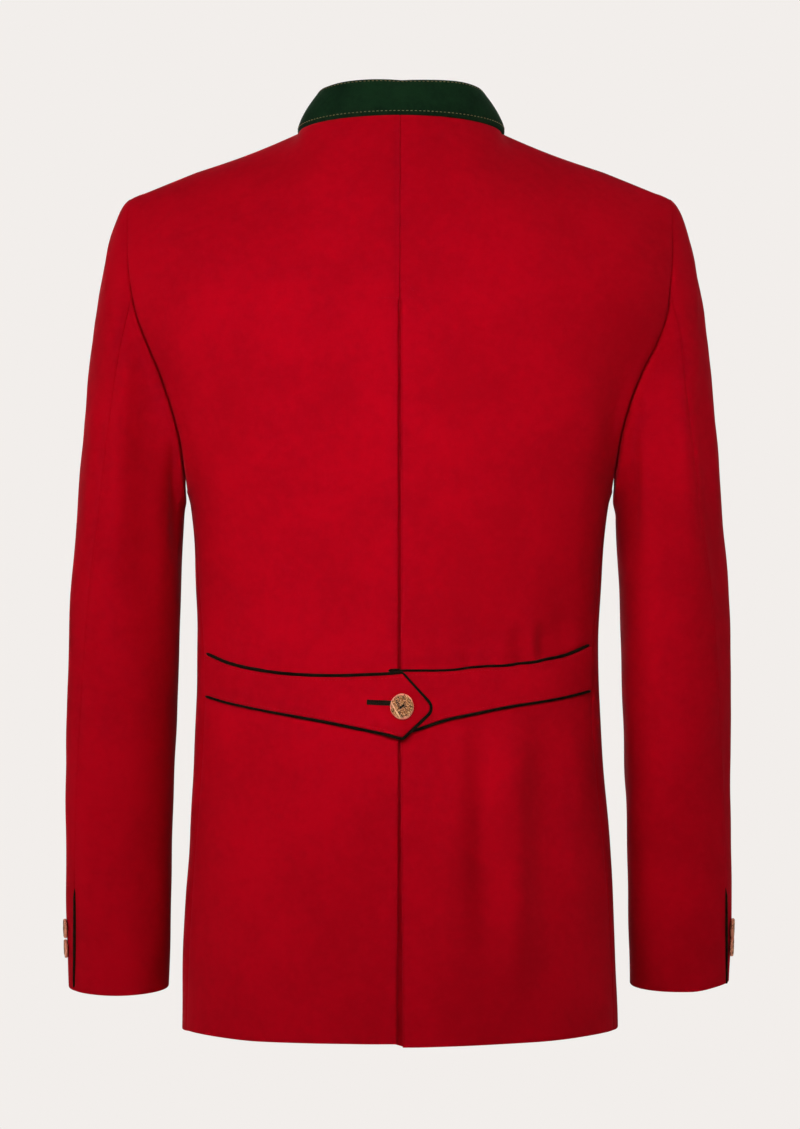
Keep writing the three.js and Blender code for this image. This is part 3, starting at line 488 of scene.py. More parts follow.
def new_object(name, points, faces, material, marks=None):
    """A smooth mesh object from points in millimetres. marks are vectors that its points carry."""
    mesh = bpy.data.meshes.new(name)
    mesh.from_pydata((points * MM).tolist(), [], faces)
    mesh.shade_smooth()
    for title, values in (marks or {}).items():
        attribute = mesh.attributes.new(title, "FLOAT_VECTOR", "POINT")
        attribute.data.foreach_set("vector", np.ascontiguousarray(values, float).ravel())
    mesh.materials.append(material)
    made = placed(name, mesh)
    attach(made, "root")
    return made


def wall_object(name, points, faces, material):
    """An object from faces of four corners, which are turned outwards."""
    first, second, third, fourth = (points[faces[:, k]] for k in range(4))
    volume = sum((first * np.cross(b, c)).sum() for b, c in ((second, third), (third, fourth)))
    return new_object(name, points, (faces if volume > 0 else faces[:, ::-1]).tolist(), material)


def wired(tree, kind, links, **values):
    """A node with its values set and its inputs linked by name or number."""
    node = tree.nodes.new(kind)
    for name, value in values.items():
        setattr(node, name, value)
    for socket, source in links.items():
        if hasattr(source, "is_output"):
            tree.links.new(source, node.inputs[socket])
        else:
            node.inputs[socket].default_value = source
    return node


def noise(tree, vector, scale, detail=3, rough=0.55, stretch=None):
    if stretch:
        links = {0: vector, 1: stretch}
        vector = wired(tree, "ShaderNodeVectorMath", links, operation="MULTIPLY").outputs[0]
    links = {"Vector": vector, "Scale": scale, "Detail": detail, "Roughness": rough}
    return wired(tree, "ShaderNodeTexNoise", links).outputs["Fac"]


def spread_out(tree, value, low, high):
    """Maps low..high of a value to 0..1, softly."""
    links = {"Value": value, "From Min": low, "From Max": high, "To Min": 0.0, "To Max": 1.0}
    return wired(tree, "ShaderNodeMapRange", links, interpolation_type="SMOOTHSTEP").outputs[0]


def blend(tree, factor, a, b):
    return wired(tree, "ShaderNodeMix", {0: factor, 6: a, 7: b}, data_type="RGBA").outputs[2]


def calc(tree, operation, a, b=0.0):
    return wired(tree, "ShaderNodeMath", {0: a, 1: b}, operation=operation).outputs[0]


def nap_group():
    """Felted cloth: clouded colour, short lying fibres, and their height."""
    group = bpy.data.node_groups.new("felted_nap", "ShaderNodeTree")
    for title, kind, default in (
        ("Deep", "NodeSocketColor", (0.2, 0, 0, 1)),
        ("Body", "NodeSocketColor", (0.4, 0, 0, 1)),
        ("Fibre", "NodeSocketColor", (0.6, 0.1, 0.1, 1)),
        ("Cloud Scale", "NodeSocketFloat", 14.0),
        ("Fibre Scale", "NodeSocketFloat", 900.0),
    ):
        group.interface.new_socket(title, in_out="INPUT", socket_type=kind).default_value = default
    for title, kind in (("Color", "NodeSocketColor"), ("Height", "NodeSocketFloat")):
        group.interface.new_socket(title, in_out="OUTPUT", socket_type=kind)
    given, out = group.nodes.new("NodeGroupInput").outputs, group.nodes.new("NodeGroupOutput").inputs
    place = group.nodes.new("ShaderNodeTexCoord").outputs["Object"]
    clouds = noise(group, place, given["Cloud Scale"], 4, 0.6)
    fine = noise(group, place, calc(group, "MULTIPLY", given["Cloud Scale"], 9.0), 3, 0.6)
    lying = noise(group, place, given["Fibre Scale"], 2, 0.5, (1.0, 1.0, 0.35))
    crossed = noise(group, place, given["Fibre Scale"], 2, 0.5, (0.4, 0.8, 1.1))
    wide, narrow = calc(group, "MULTIPLY", clouds, 0.65), calc(group, "MULTIPLY", fine, 0.35)
    clouded = spread_out(group, calc(group, "ADD", wide, narrow), 0.36, 0.64)
    base = blend(group, clouded, given["Deep"], given["Body"])
    fibres = calc(group, "MAXIMUM", lying, crossed)
    stray = calc(group, "MULTIPLY", spread_out(group, fibres, 0.6, 0.8), 0.35)
    group.links.new(blend(group, stray, base, given["Fibre"]), out["Color"])
    group.links.new(calc(group, "ADD", fibres, calc(group, "MULTIPLY", fine, 0.6)), out["Height"])
    return group


NAP = nap_group()


def new_material(name):
    material = bpy.data.materials.new(name)
    material.use_nodes = True
    return material, material.node_tree, material.node_tree.nodes["Principled BSDF"]


def felted_cloth(name, deep, body, fibre, sheen, tint, clouds=14.0, fibre_scale=900.0, bump=0.35):
    """Felted wool: matt, clouded, with a soft sheen where it turns away."""
    material, tree, shader = new_material(name)
    nap = tree.nodes.new("ShaderNodeGroup")
    nap.node_tree = NAP
    for title, colour in (("Deep", deep), ("Body", body), ("Fibre", fibre)):
        nap.inputs[title].default_value = (*colour, 1)
    nap.inputs["Cloud Scale"].default_value = clouds
    nap.inputs["Fibre Scale"].default_value = fibre_scale
    tree.links.new(nap.outputs["Color"], shader.inputs["Base Color"])
    links = {"Strength": bump, "Distance": 0.0004, "Height": nap.outputs["Height"]}
    raised = wired(tree, "ShaderNodeBump", links)
    tree.links.new(raised.outputs["Normal"], shader.inputs["Normal"])
    shader.inputs["Roughness"].default_value = 0.92
    shader.inputs["Specular IOR Level"].default_value = 0.04
    shader.inputs["Sheen Weight"].default_value = sheen
    shader.inputs["Sheen Roughness"].default_value = 0.3
    shader.inputs["Sheen Tint"].default_value = (*tint, 1)
    return material


RED_WOOL = felted_cloth(
    "red_wool", deep=(0.34, 0.0, 0.0055), body=(0.41, 0.0, 0.0068), fibre=(0.46, 0.003, 0.012),
    sheen=0.1, tint=(1.0, 0.16, 0.2),
)


def wool_piece(name, outer, normals, thick):
    """A piece of the red wool in place of the solid of that name, behind a grid of points."""
    points, faces = cloth_wall(outer, normals, thick)
    made = wall_object(f"{name}_cloth", points, faces, RED_WOOL)
    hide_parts(name)
    return made


def hand(side):
    return "left" if side > 0 else "right"


def pleat_opening(z):
    """Half the width between the two panels at the centre back."""
    hanging = mix(PLEAT["open_top"], PLEAT["open_hem"], ease(PLEAT["open_from"], HEM, z))
    return mix(0, hanging, ease(PLEAT["top"] + 2, PLEAT["top"] - 3, z))


def fold_radius(z):
    return mix(PLEAT["seam_fold"], PLEAT["fold"], ease(PLEAT["top"] + 2, PLEAT["top"] - 14, z))


def sew_edges(grid, normals):
    """Turns a panel's sewn edges in and rounds its hem. Gives its points and its thickness."""
    edges, z = from_edges(grid), grid[..., 2]
    below = ease(SHOULDER_POINT["to"], SHOULDER_POINT["from"], z)
    armhole = roll(edges["last"], ARMHOLE_ROLL) * mix(SHOULDER_POINT["least"], 1, below)
    back = roll(edges["top"], SEAM_ROLL)
    back += mix(armhole, roll(edges["last"], SEAM_ROLL), ease(UNDERARM + 12, UNDERARM - 12, z))
    away = (edges["last"] - ARMHOLE_SWELL["at"]) / ARMHOLE_SWELL["half"]
    back -= ARMHOLE_SWELL["out"] * np.exp(-(away**2)) * ease(UNDERARM - 10, UNDERARM + 40, z)
    turned = roll(edges["bottom"], HEM_ROLL)
    return grid - normals * (back + turned)[..., None], WALL - 2 * turned * HEM_PINCH


def back_panel(side):
    grid = body_form("back", lambda z: pleat_opening(z) + fold_radius(z)) * [side, 1, 1]
    grid = drape(grid, (0, 1, 0), BACK_FOLDS, shift=20 * side)
    z = grid[..., 2]
    grid[..., 2] -= HEM_DROP[side] * ease(130, 0, np.abs(grid[..., 0])) * ease(HEM + 60, HEM, z)
    normals = grid_normals(grid, (0, 1, 0))
    z_edge = grid[:, :1, 2]
    radius = fold_radius(z_edge)[..., None]
    grid[:, 0, 0] = side * (pleat_opening(z_edge) + fold_radius(z_edge))[:, 0]
    normals[:, 0, 0] = 0
    normals = unit(normals)
    face, thick = sew_edges(grid, normals)

    # the fold at the centre and the cloth that returns behind the face
    angles = np.radians(np.linspace(180, 0, 9))[None, :-1, None]
    lead = normals[:, :1]
    fold_normals = lead * np.cos(angles) - np.array([side, 0, 0]) * np.sin(angles)
    fold = face[:, :1] - lead * radius + fold_normals * radius
    distance = from_edges(grid)["first"]
    pleated = ease(PLEAT["top"] + 2, PLEAT["top"] - 8, z_edge[:, 0])
    width = mix(PLEAT["allowance"], PLEAT["depth"], pleated)
    returns, return_normals = [], []
    for row, facing, along, r, w in zip(face, normals, distance, radius, width):
        at = np.linspace(w, 0, 8)[:-1]
        n = unit(sampled(facing, along, at))
        returns.append(sampled(row, along, at) - 2 * r * n)
        return_normals.append(-n)
    outer = np.concatenate([np.array(returns), fold, face], axis=1)
    all_normals = np.concatenate([np.array(return_normals), fold_normals, normals], axis=1)
    inside = FOLD_FILL * radius[..., 0]
    near = np.where(inside > 1.9, np.minimum(thick, inside), mix(inside, thick, ease(8, 16, distance)))
    behind = np.repeat(np.minimum(inside, thick[:, :1]), outer.shape[1] - face.shape[1], axis=1)
    made = wool_piece(f"back_{hand(side)}", outer, all_normals, np.concatenate([behind, near], axis=1))
    return made, {"grid": face, "normals": normals}


backs = {side: back_panel(side) for side in (1, -1)}


# ================================================================ the pleat's underlay
# A strip of the same wool that closes the pleat from behind. It is sewn to the two returns and
# hangs level with the hem, and shows only in the slit between the folds.
def underlay():
    surfaces = backs[1][1], backs[-1][1]
    first = int(np.argmax(surfaces[0]["grid"][:, 0, 2] < PLEAT["top"]))
    at = np.linspace(0, PLEAT["half"], 7)
    sides = []
    for surface in surfaces:
        rows = []
        for grid, normals in zip(surface["grid"][first:], surface["normals"][first:]):
            along = lengths_along(grid)
            n = unit(sampled(normals, along, at))
            rows.append((sampled(grid, along, at) - PLEAT["layer"] * n, n))
        sides.append(rows)
    outer, normals = (
        np.array([np.concatenate([a[k][::-1], b[k]]) for a, b in zip(*sides)]) for k in (0, 1)
    )
    outer[-1, :, 2] = HEM
    return wool_piece("pleat_underlay", outer, normals, PLEAT["underlay"])


pleat_strip = underlay()


# ================================================================ the fronts
# Two plain front panels of the same wool. The left one laps over the right one by 20 mm each side
# of the centre, and the front edges are turned in and pressed like the hem.
LAP = {"width": 20, "under": 3, "start": 26, "end": 54}
FRONT_FOLDS = table(
    "x1 z1 x2 z2 half out",
    (96, -322, 96, -568, 24, -2.2),
    (134, -412, 134, -698, 22, 2.2),
    (-88, -342, -88, -598, 24, -2.2),
    (-130, -402, -130, -698, 22, 2.0),
    (170, -170, 158, -270, 18, -2.2),
    (-170, -176, -158, -276, 18, -2.4),
    (60, -560, 66, -712, 20, -1.2),
    (-58, -540, -62, -712, 20, -1.0),
    (118, -94, 70, -200, 28, 1.0),
    (-116, -96, -66, -196, 28, 1.1),
    (112, -404, 104, -450, 14, -1.0),
    (-114, -398, -108, -446, 14, -1.2),
)


def front_panel(side):
    form = body_form("front", lambda z: 0)
    reach = np.linspace(LAP["width"], 0, 9)[:-1]
    reach = np.concatenate([LAP["width"] - EDGE_STEPS[:-1], reach[reach < LAP["width"] - 4.5]])
    lap = np.array([sampled(row, lengths_along(row), reach) for row in form]) * [-1, 1, 1]
    grid = np.concatenate([lap, form], axis=1) * [side, 1, 1]
    grid = drape(grid, (0, -1, 0), FRONT_FOLDS, shift=35 * side)
    normals = grid_normals(grid, (0, -1, 0))
    if side < 0:
        away = LAP["under"] * (1 - ease(LAP["start"], LAP["end"], -grid[..., 0]))
        grid = grid - normals * away[..., None]
    grid, thick = sew_edges(grid, normals)
    turned = roll(from_edges(grid)["first"], HEM_ROLL)
    grid = grid - normals * turned[..., None]
    made = wool_piece(f"front_{hand(side)}", grid, normals, np.maximum(thick - 2 * turned, THIN_EDGE))
    return made, {"grid": grid, "normals": normals}


fronts = {side: front_panel(side) for side in (1, -1)}


# ================================================================ the collar
# A low stand collar of dark green felt round the neck, its ends meeting at the centre front. It is
# two layers turned at the top edge, with a row of tan topstitching below that edge and another
# just above the neck seam.
COLLAR = {
    "thick": 2.4, "gap": 1.2, "lift": 0.45, "curl": 1.6, "allowance": 1.6, "under": 3.04, "flare": 2.3,
    "sway": -1.3, "uneven": 0.25,
}
COLLAR_LEAN = table(
    "angle inwards up",
    (0, 16, 28.4),
    (40, 13.2, 31),
    (65, 14, 31),
    (90, 15.5, 31.6),
    (135, 12, 33.5),
    (180, 9, 32),
)
COLLAR_ROLL = {"round": 1.18, "hollow": 0, "reach": 1}
NECK_SEAM_ROLL = {"round": 0.6, "hollow": 0, "reach": 1}
GREEN_FELT = felted_cloth(
    "green_felt", deep=(0.0032, 0.0135, 0.0055), body=(0.0065, 0.024, 0.0092),
    fibre=(0.018, 0.045, 0.02), sheen=0.12, tint=(0.5, 0.8, 0.55),
    clouds=30.0, fibre_scale=1300.0, bump=0.6,
)


def collar_place(angle, share):
    """A point of the collar's outer face. The angle is signed, and share runs from seam to edge."""
    turn = abs(angle)
    base = neck_points(np.array([turn]))[0]
    inwards, up = (read(COLLAR_LEAN, name, turn, by="angle") for name in ("inwards", "up"))
    flare = COLLAR["flare"] * math.sin(math.radians(turn)) * (1 - share) ** 2
    p = base + unit(base * [1, 1, 0]) * (flare - inwards * share ** COLLAR["curl"])
    uneven = COLLAR["uneven"] * math.sin(math.radians(5 * angle + 30))
    p[2] += COLLAR["lift"] + up * share + uneven * share
    p[0] = COLLAR["gap"] / 2 if turn >= 179.9 else max(p[0], 0)
    sway = COLLAR["sway"] * math.cos(math.radians(turn / 2))
    return p * [-1 if angle < 0 else 1, 1, 1] + [sway, 0, 0]


def collar():
    ends, edge = np.array([0, 0.2, 0.5, 1, 1.8]), np.array([0.07, 0.045, 0.027, 0.013, 0.005, 0])
    angles = np.concatenate([ends - 180, np.linspace(-176, 176, 177), 180 - ends[::-1]])
    shares = np.concatenate([np.linspace(0, 0.9, 15), 1 - edge])
    grid = np.array([[collar_place(a, s) for a in angles] for s in shares])
    tucked = unit(grid[0] * [-1, -1, 0]) * COLLAR["allowance"] - [0, 0, COLLAR["under"]]
    grid = np.concatenate([[grid[0] + tucked, grid[0] + tucked * 0.5], grid])
    normals = grid_normals(grid, grid * [1, 1, 0])
    edges = from_edges(grid)
    edges["top"] = edges["top"] - edges["top"][2]
    turned = np.maximum.reduce([roll(edges[k], COLLAR_ROLL) for k in ("bottom", "first", "last")])
    puff = 0.35 * np.sin(math.pi * np.clip(edges["top"] / 30, 0, 1))
    seam = roll(np.maximum(edges["top"], 0), NECK_SEAM_ROLL)
    groove = sum(0.3 * np.exp(-(((edges[k] - 2.2) / 0.9) ** 2)) for k in ("top", "bottom"))
    outer = grid + normals * (puff - turned - seam - groove)[..., None]
    thick = np.maximum(COLLAR["thick"] + puff - 2 * turned, THIN_EDGE)
    made = wall_object("collar_felt", *cloth_wall(outer, normals, thick), GREEN_FELT)
    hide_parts("collar")
    return made, {"grid": outer, "normals": normals, "edges": edges}


collar_felt, collar_surface = collar()


def at_level(surface, key, distance):
    """The line on a grid that lies at a distance from one of its edges, with its normals."""
    far = surface["edges"][key]
    line, facing = [], []
    for j in range(far.shape[1]):
        order = np.argsort(far[:, j])
        line.append(sampled(surface["grid"][order, j], far[order, j], distance))
        facing.append(sampled(surface["normals"][order, j], far[order, j], distance))
    return np.array(line), unit(np.array(facing))


def thread_material(name, dark, light):
    """Twisted sewing thread: fine bands across it."""
    material, tree, shader = new_material(name)
    place = tree.nodes.new("ShaderNodeTexCoord").outputs["Object"]
    bands = noise(tree, place, 2600.0, 1, 0.4)
    colour = blend(tree, spread_out(tree, bands, 0.4, 0.6), (*dark, 1), (*light, 1))
    tree.links.new(colour, shader.inputs["Base Color"])
    raised = wired(tree, "ShaderNodeBump", {"Strength": 0.4, "Distance": 0.0002, "Height": bands})
    tree.links.new(raised.outputs["Normal"], shader.inputs["Normal"])
    shader.inputs["Roughness"].default_value = 0.85
    shader.inputs["Specular IOR Level"].default_value = 0.08
    return material


TAN_THREAD = thread_material("tan_thread", (0.19, 0.13, 0.05), (0.42, 0.32, 0.15))
RED_THREAD = thread_material("red_thread", (0.30, 0.001, 0.006), (0.43, 0.006, 0.013))
GREEN_THREAD = thread_material("green_thread", (0.005, 0.004, 0.002), (0.018, 0.013, 0.006))


# A stitch's bow, dip and tips as shares of its radius, and how much its ends wander in millimetres.
STITCH = {"bow": 1.2, "sunk": 0.55, "tip": 0.35, "rings": 6, "uneven": 0.12}
HEXAGON = np.array([[0, 1, 4, 5], [1, 2, 3, 4]])  # the end of a six-sided thread as two faces


def stitch_mesh(ends, radius):
    """Short bowed threads. ends has start, end and normal of each; their tips dip into the cloth."""
    starts, stops, normals = (np.array(v) for v in zip(*ends))
    t = np.linspace(0, 1, STITCH["rings"])
    lift = radius * (STITCH["bow"] * np.sin(math.pi * t) - STITCH["sunk"])
    thick = radius * np.clip(np.sin(math.pi * t), STITCH["tip"], 1) ** 0.5
    side = unit(np.cross(unit(stops - starts), normals))
    centre = (
        starts[:, None] + (stops - starts)[:, None] * t[None, :, None]
        + normals[:, None] * lift[None, :, None]
    )
    turn = np.linspace(0, 2 * math.pi, 6, endpoint=False)
    offset = (
        side[:, None, None] * np.cos(turn)[None, None, :, None]
        + normals[:, None, None] * np.sin(turn)[None, None, :, None]
    )
    points = centre[:, :, None] + offset * thick[None, :, None, None]
    at = np.arange(points[..., 0].size).reshape(points.shape[:3])
    after = np.roll(at, -1, axis=2)
    walls = np.stack([at[:, :-1], after[:, :-1], after[:, 1:], at[:, 1:]], -1)
    caps = [ring[:, HEXAGON] for ring in (at[:, 0, ::-1], at[:, -1])]
    return points.reshape(-1, 3), np.concatenate([v.reshape(-1, 4) for v in (walls, *caps)])


def stitches_along(line, normals, length, gap, seed, inset=1.0):
    """Start, end and normal of each stitch of a row that follows a line."""
    draw = np.random.default_rng(seed)
    along = lengths_along(line)
    ends, at = [], inset
    while at + length < along[-1] - inset:
        a, b = at + draw.uniform(0, STITCH["uneven"]), at + length - draw.uniform(0, STITCH["uneven"])
        n = unit(sampled(normals, along, (a + b) / 2))
        ends.append((sampled(line, along, a), sampled(line, along, b), n))
        at += length + gap
    return ends


def sewn(name, ends, material, radius):
    """One object for rows of stitches."""
    wall_object(name, *stitch_mesh(ends, radius), material)


collar_rows = []
for key, distance, seed in (("bottom", 2.2, 3), ("top", 2.4, 4)):
    line, facing = at_level(collar_surface, key, distance)
    collar_rows += stitches_along(line, facing, length=2.1, gap=1.3, seed=seed)
sewn("collar_stitching", collar_rows, TAN_THREAD, radius=0.3)


# ================================================================ the sleeves
# Two-piece sleeves of the same wool, set into the armholes with a little fullness at the shoulder.
# Each has a top and an under sleeve, joined by a back seam and a front seam, and hangs straight.
CUFF = -694
CUFF_TILT = {"rate": 0.073, "above": 60}  # the cuff's edge hangs lower at the back
SLEEVE = table(
    "z inner outer back front",
    (-320, 175, 262.2, 64, -76),
    (-380, 178, 266.4, 58, -73),
    (-461, 181.2, 269, 48, -71),
    (-542, 184.3, 270.4, 37, -70),
    (-623, 186.9, 270.8, 27, -71),
    (CUFF, 188.5, 269, 20, -72),
)
SLEEVE_FULLNESS = 2.15
UPPER_ARM = -320  # the sleeve head ends and the level rows begin
CAP_ROWS = {"length": 90, "first": 0.06, "count": 40, "crowd": 1.25}
# Where each seam starts on the armhole and ends at the cuff. The back one is drawn round, by some
# degrees, through the sleeve head.
BACK_SEAM = {"z": -130, "cuff_angle": {1: 33, -1: 25}, "swing": 0.8, "drawn": 9.5, "early": 0.45}
FRONT_SEAM = {"z": -248, "cuff_angle": 218}
CAP = {
    "leave": {"top": (74, 0, -54), "side": (42, 14, -62), "bottom": (7, 0, -12)},
    "arrive": {"top": 300, "side": 150, "bottom": 22},
}
# Soft folds of a sleeve: place round it in degrees and height, half width, and how far the cloth
# stands out on each sleeve. The two sleeves' folds are turned a little from each other.
FOLDS_TURN = 6
SLEEVE_FOLDS = table(
    "a1 z1 a2 z2 half left right",
    (92, -190, 112, -420, 22, -5.5, -3.0),
    (66, -190, 78, -350, 12, 2.6, 3.0),
    (134, -235, 152, -345, 14, -4.5, -5.5),
    (52, -225, 56, -380, 13, -2.6, -2.0),
    (34, -215, 40, -330, 12, 1.6, 2.4),
    (60, -400, 104, -462, 20, -2.4, -2.4),
    (72, -452, 128, -520, 22, 2.2, 2.2),
    (52, -500, 100, -566, 20, -1.9, -1.9),
    (300, -210, 286, -320, 14, -2.0, -2.0),
    (250, -250, 222, -340, 12, -2.2, -2.2),
    (262, -400, 222, -470, 20, -2.2, -2.0),
    (250, -470, 214, -540, 22, 1.8, 2.0),
    (318, -430, 300, -560, 20, 1.4, 1.4),
    (24, -330, 30, -500, 16, 1.5, 1.5),
    (96, -420, 108, -676, 26, -3.2, -1.6),
    (126, -540, 132, -676, 16, -1.8, -1.8),
    (150, -560, 146, -676, 18, 1.4, 1.4),
    (90, -590, 92, -690, 18, -1.4, -1.4),
)
SLEEVE_SWELL = {"dip": 0.7, "half": 5, "rise": 0.5, "crest": 13, "spread": 8}
SLEEVE_ALLOWANCE = {"thick": 1.2, "deep": (4.5, 2.2), "beside": 0.1}


def sleeve_points(z, angles):
    inner, outer, back, front = (read(SLEEVE, name, z) for name in ("inner", "outer", "back", "front"))
    c, s = np.cos(np.radians(angles)), np.sin(np.radians(angles))
    c, s = (np.sign(v) * np.abs(v) ** (2 / SLEEVE_FULLNESS) for v in (c, s))
    x, y = (outer - inner) / 2 * c, (back - front) / 2 * s
    tilt = CUFF_TILT["rate"] * ease(CUFF + CUFF_TILT["above"], CUFF, z)
    return np.stack([(inner + outer) / 2 + x, (back + front) / 2 + y, z - tilt * y], -1)


def armhole_edges():
    """The armhole from the shoulder to the underarm by the back, and up again by the front."""
    lines = []
    for face in ("back", "front"):
        edge = body_form(face, lambda z: 0, columns=(3, 3))[:, -1]
        lines.append(edge[edge[:, 2] > UNDERARM - 0.01])
    return lines


def sleeve_form(side):
    """The columns of a sleeve's two pieces, in degrees round it, and a function for their rows."""
    behind, ahead = armhole_edges()
    ahead = ahead[::-1]
    seam_back, seam_front = (
        180 * np.interp(up * seam["z"], up * line[:, 2], lengths_along(line)) / lengths_along(line)[-1]
        for up, seam, line in ((-1, BACK_SEAM, behind), (1, FRONT_SEAM, ahead))
    )
    seam_front += 180
    crowd = EDGE_STEPS * 0.85

    def columns(start, stop, count):
        inner = np.linspace(start + crowd[-1], stop - crowd[-1], count)[1:-1]
        return np.concatenate([start + crowd, inner, stop - crowd[::-1]])

    def moved_seams(angles, to_back, to_front):
        whole = np.floor_divide(angles, 360) * 360
        marks, moved = [0, seam_back, 180, seam_front, 360], [0, to_back, 180, to_front, 360]
        return whole + np.interp(angles - whole, marks, moved)

    def turned(angles, z):
        along = np.clip((UPPER_ARM - z) / (UPPER_ARM - CUFF), 0, 1)
        to_back = mix(seam_back, BACK_SEAM["cuff_angle"][side], along ** BACK_SEAM["swing"])
        return moved_seams(angles, to_back, mix(seam_front, FRONT_SEAM["cuff_angle"], along))

    def cap_row(at, u):
        """A row of the sleeve head, from the armhole at u 0 to the level rows at u 1."""
        drawn = BACK_SEAM["drawn"] * math.sin(math.pi * u ** BACK_SEAM["early"])
        angles = moved_seams(at, seam_back + drawn, seam_front)
        share = np.mod(angles, 360) / 180
        start = np.where(
            (share <= 1)[:, None],
            spread(behind, np.clip(share, 0, 1)), spread(ahead, np.clip(share - 1, 0, 1)),
        ) + [SEAM / 2, 0, 0]
        c, s = np.cos(np.radians(angles))[:, None], np.sin(np.radians(angles))[:, None]
        parts = {"top": np.maximum(c, 0) ** 2, "side": s * s, "bottom": np.maximum(-c, 0) ** 2}
        ways = {name: np.array(way) for name, way in CAP["leave"].items()}
        ways["side"] = ways["side"] * np.concatenate([np.ones_like(s), np.sign(s), np.ones_like(s)], 1)
        leave = sum(ways[name] * part for name, part in parts.items())
        reach = sum(CAP["arrive"][name] * part for name, part in parts.items())
        end = sleeve_points(UPPER_ARM, angles)
        arrive = (sleeve_points(UPPER_ARM - 4, angles) - end) * reach / 4
        return hermite(start, leave, end, arrive, u)

    def rows(angles):
        down = np.linspace(CAP_ROWS["first"], 1, CAP_ROWS["count"])[:-1] ** CAP_ROWS["crowd"]
        down = np.unique(np.clip([*EDGE_STEPS / CAP_ROWS["length"], *down], 0, 0.999))
        heights = [*np.linspace(UPPER_ARM, CUFF + 4.2, 80)[:-1], *(CUFF + EDGE_STEPS[::-1])]
        return np.array(
            [cap_row(angles, u) for u in down] + [sleeve_points(z, turned(angles, z)) for z in heights]
        )

    return {
        "rows": rows, "top": columns(seam_front, 360 + seam_back, 44),
        "under": columns(seam_back, seam_front, 34),
    }


def sleeve_piece(form, which, side):
    angles = form[which]
    grid = form["rows"](angles)
    z = grid[..., 2]
    middle = np.stack([
        np.interp(-z, [200, 500], [196, 228]), np.interp(-z, [200, 680], [-2, -25]),
        np.minimum(z, z * 0.5 - 95),
    ], -1)
    normals = grid_normals(grid, grid - middle)
    edges = from_edges(grid)
    per_degree = np.maximum(edges["first"][:, -1:] / (angles[-1] - angles[0]), 0.2)
    around = angles * per_degree
    out = 0.8 * waves_out(around + 50 * side, z)
    for a1, z1, a2, z2, half, *high in zip(*SLEEVE_FOLDS.values()):
        for whole in (0, 360):
            x1, x2 = ((a + whole + FOLDS_TURN * side) * per_degree for a in (a1, a2))
            out += high[side < 0] * fold_share(around, z, (x1, z1, x2, z2), half, (-0.15, 0.75))
    out *= ease(0, 10, np.minimum(edges["first"], edges["last"])) * ease(0, 25, edges["top"])
    head, top = SLEEVE_SWELL, edges["top"]
    low = ease(-70, -240, z[:1])
    out -= head["dip"] * mix(0.5, 2.2, low) * np.exp(-((top / head["half"]) ** 2))
    out += head["rise"] * mix(0.2, 2.4, low) * np.exp(-(((top - head["crest"]) / head["spread"]) ** 2))
    out -= roll(edges["first"], ARMHOLE_ROLL) + roll(edges["last"], ARMHOLE_ROLL)
    turned = roll(edges["bottom"], HEM_ROLL)
    outer = hang((grid + normals * (out - turned)[..., None]) * [side, 1, 1])
    facing = normals * [side, 1, 1]
    thick = WALL - 2 * turned * HEM_PINCH
    # the seam allowance is turned in along the armhole, behind the panels
    extra = SLEEVE_ALLOWANCE
    towards = unit(outer[0] - outer[2])
    allowance = [outer[0] - facing[0] * k - towards * extra["beside"] for k in extra["deep"]]
    made = wool_piece(
        f"{which}_sleeve_{hand(side)}", np.concatenate([allowance, outer]),
        np.concatenate([[towards, towards, unit(towards + facing[0])], facing[1:]]),
        np.concatenate([np.full((3, len(angles)), extra["thick"]), thick[1:]]),
    )
    return made, {"grid": outer, "normals": facing}


sleeves = {}
for side in (1, -1):
    form = sleeve_form(side)
    for which in ("top", "under"):
        sleeves[which, side] = sleeve_piece(form, which, side)


# ================================================================ the cuff vents
# The lowest stretch of each sleeve's back seam is a mock vent: the top sleeve's edge is bound with
# dark green braid and lies on the under sleeve.
VENT = {"top": -609, "bottom": -693, "radius": (0.8, 1.45), "lift": 0.75, "bow": (0.4, 5.9, -7.8)}
GREEN_BRAID = felted_cloth(
    "green_braid", deep=(0.004, 0.0025, 0.0012), body=(0.011, 0.008, 0.0035),
    fibre=(0.018, 0.017, 0.009), sheen=0.04, tint=(0.6, 0.7, 0.5),
    clouds=120.0, fibre_scale=1500.0, bump=0.7,
)
CORD = {"sides": 10, "tip": 0.3, "turn": 1.9}  # its strands turn by so many radians a millimetre


def braid(name, line, normals, radius, twist):
    """A closed round cord along a line, drawn in at its ends, in place of the solid of that name."""
    along = lengths_along(line)
    ways = unit(np.gradient(line, axis=0))
    side = unit(np.cross(ways, normals))
    up = np.cross(side, ways)
    near = np.clip(np.minimum(along, along[-1] - along) / radius, 0, 1)
    size = radius * mix(CORD["tip"], 1, np.sqrt(1 - (1 - near) ** 2))
    turn = np.linspace(0, 2 * math.pi, CORD["sides"], endpoint=False)
    ring = size[:, None] * (1 + twist * np.cos(2 * (turn[None] - along[:, None] * CORD["turn"])))
    across, above = ((wave(turn) * ring)[..., None] for wave in (np.cos, np.sin))
    points = line[:, None] + side[:, None] * across + up[:, None] * above
    points = np.concatenate([points.reshape(-1, 3), line[[0, -1]]])
    at = np.arange(ring.size).reshape(ring.shape)
    after = np.roll(at, -1, axis=1)
    walls = np.stack([at[:-1], after[:-1], after[1:], at[1:]], -1).reshape(-1, 4)
    tip = np.full(CORD["sides"], ring.size)
    caps = [np.stack([after[0], at[0], tip], 1), np.stack([at[-1], after[-1], tip + 1], 1)]
    faces = [face for group in (walls, *caps) for face in group.tolist()]
    made = new_object(f"{name}_braid", points, faces, GREEN_BRAID)
    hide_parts(name)


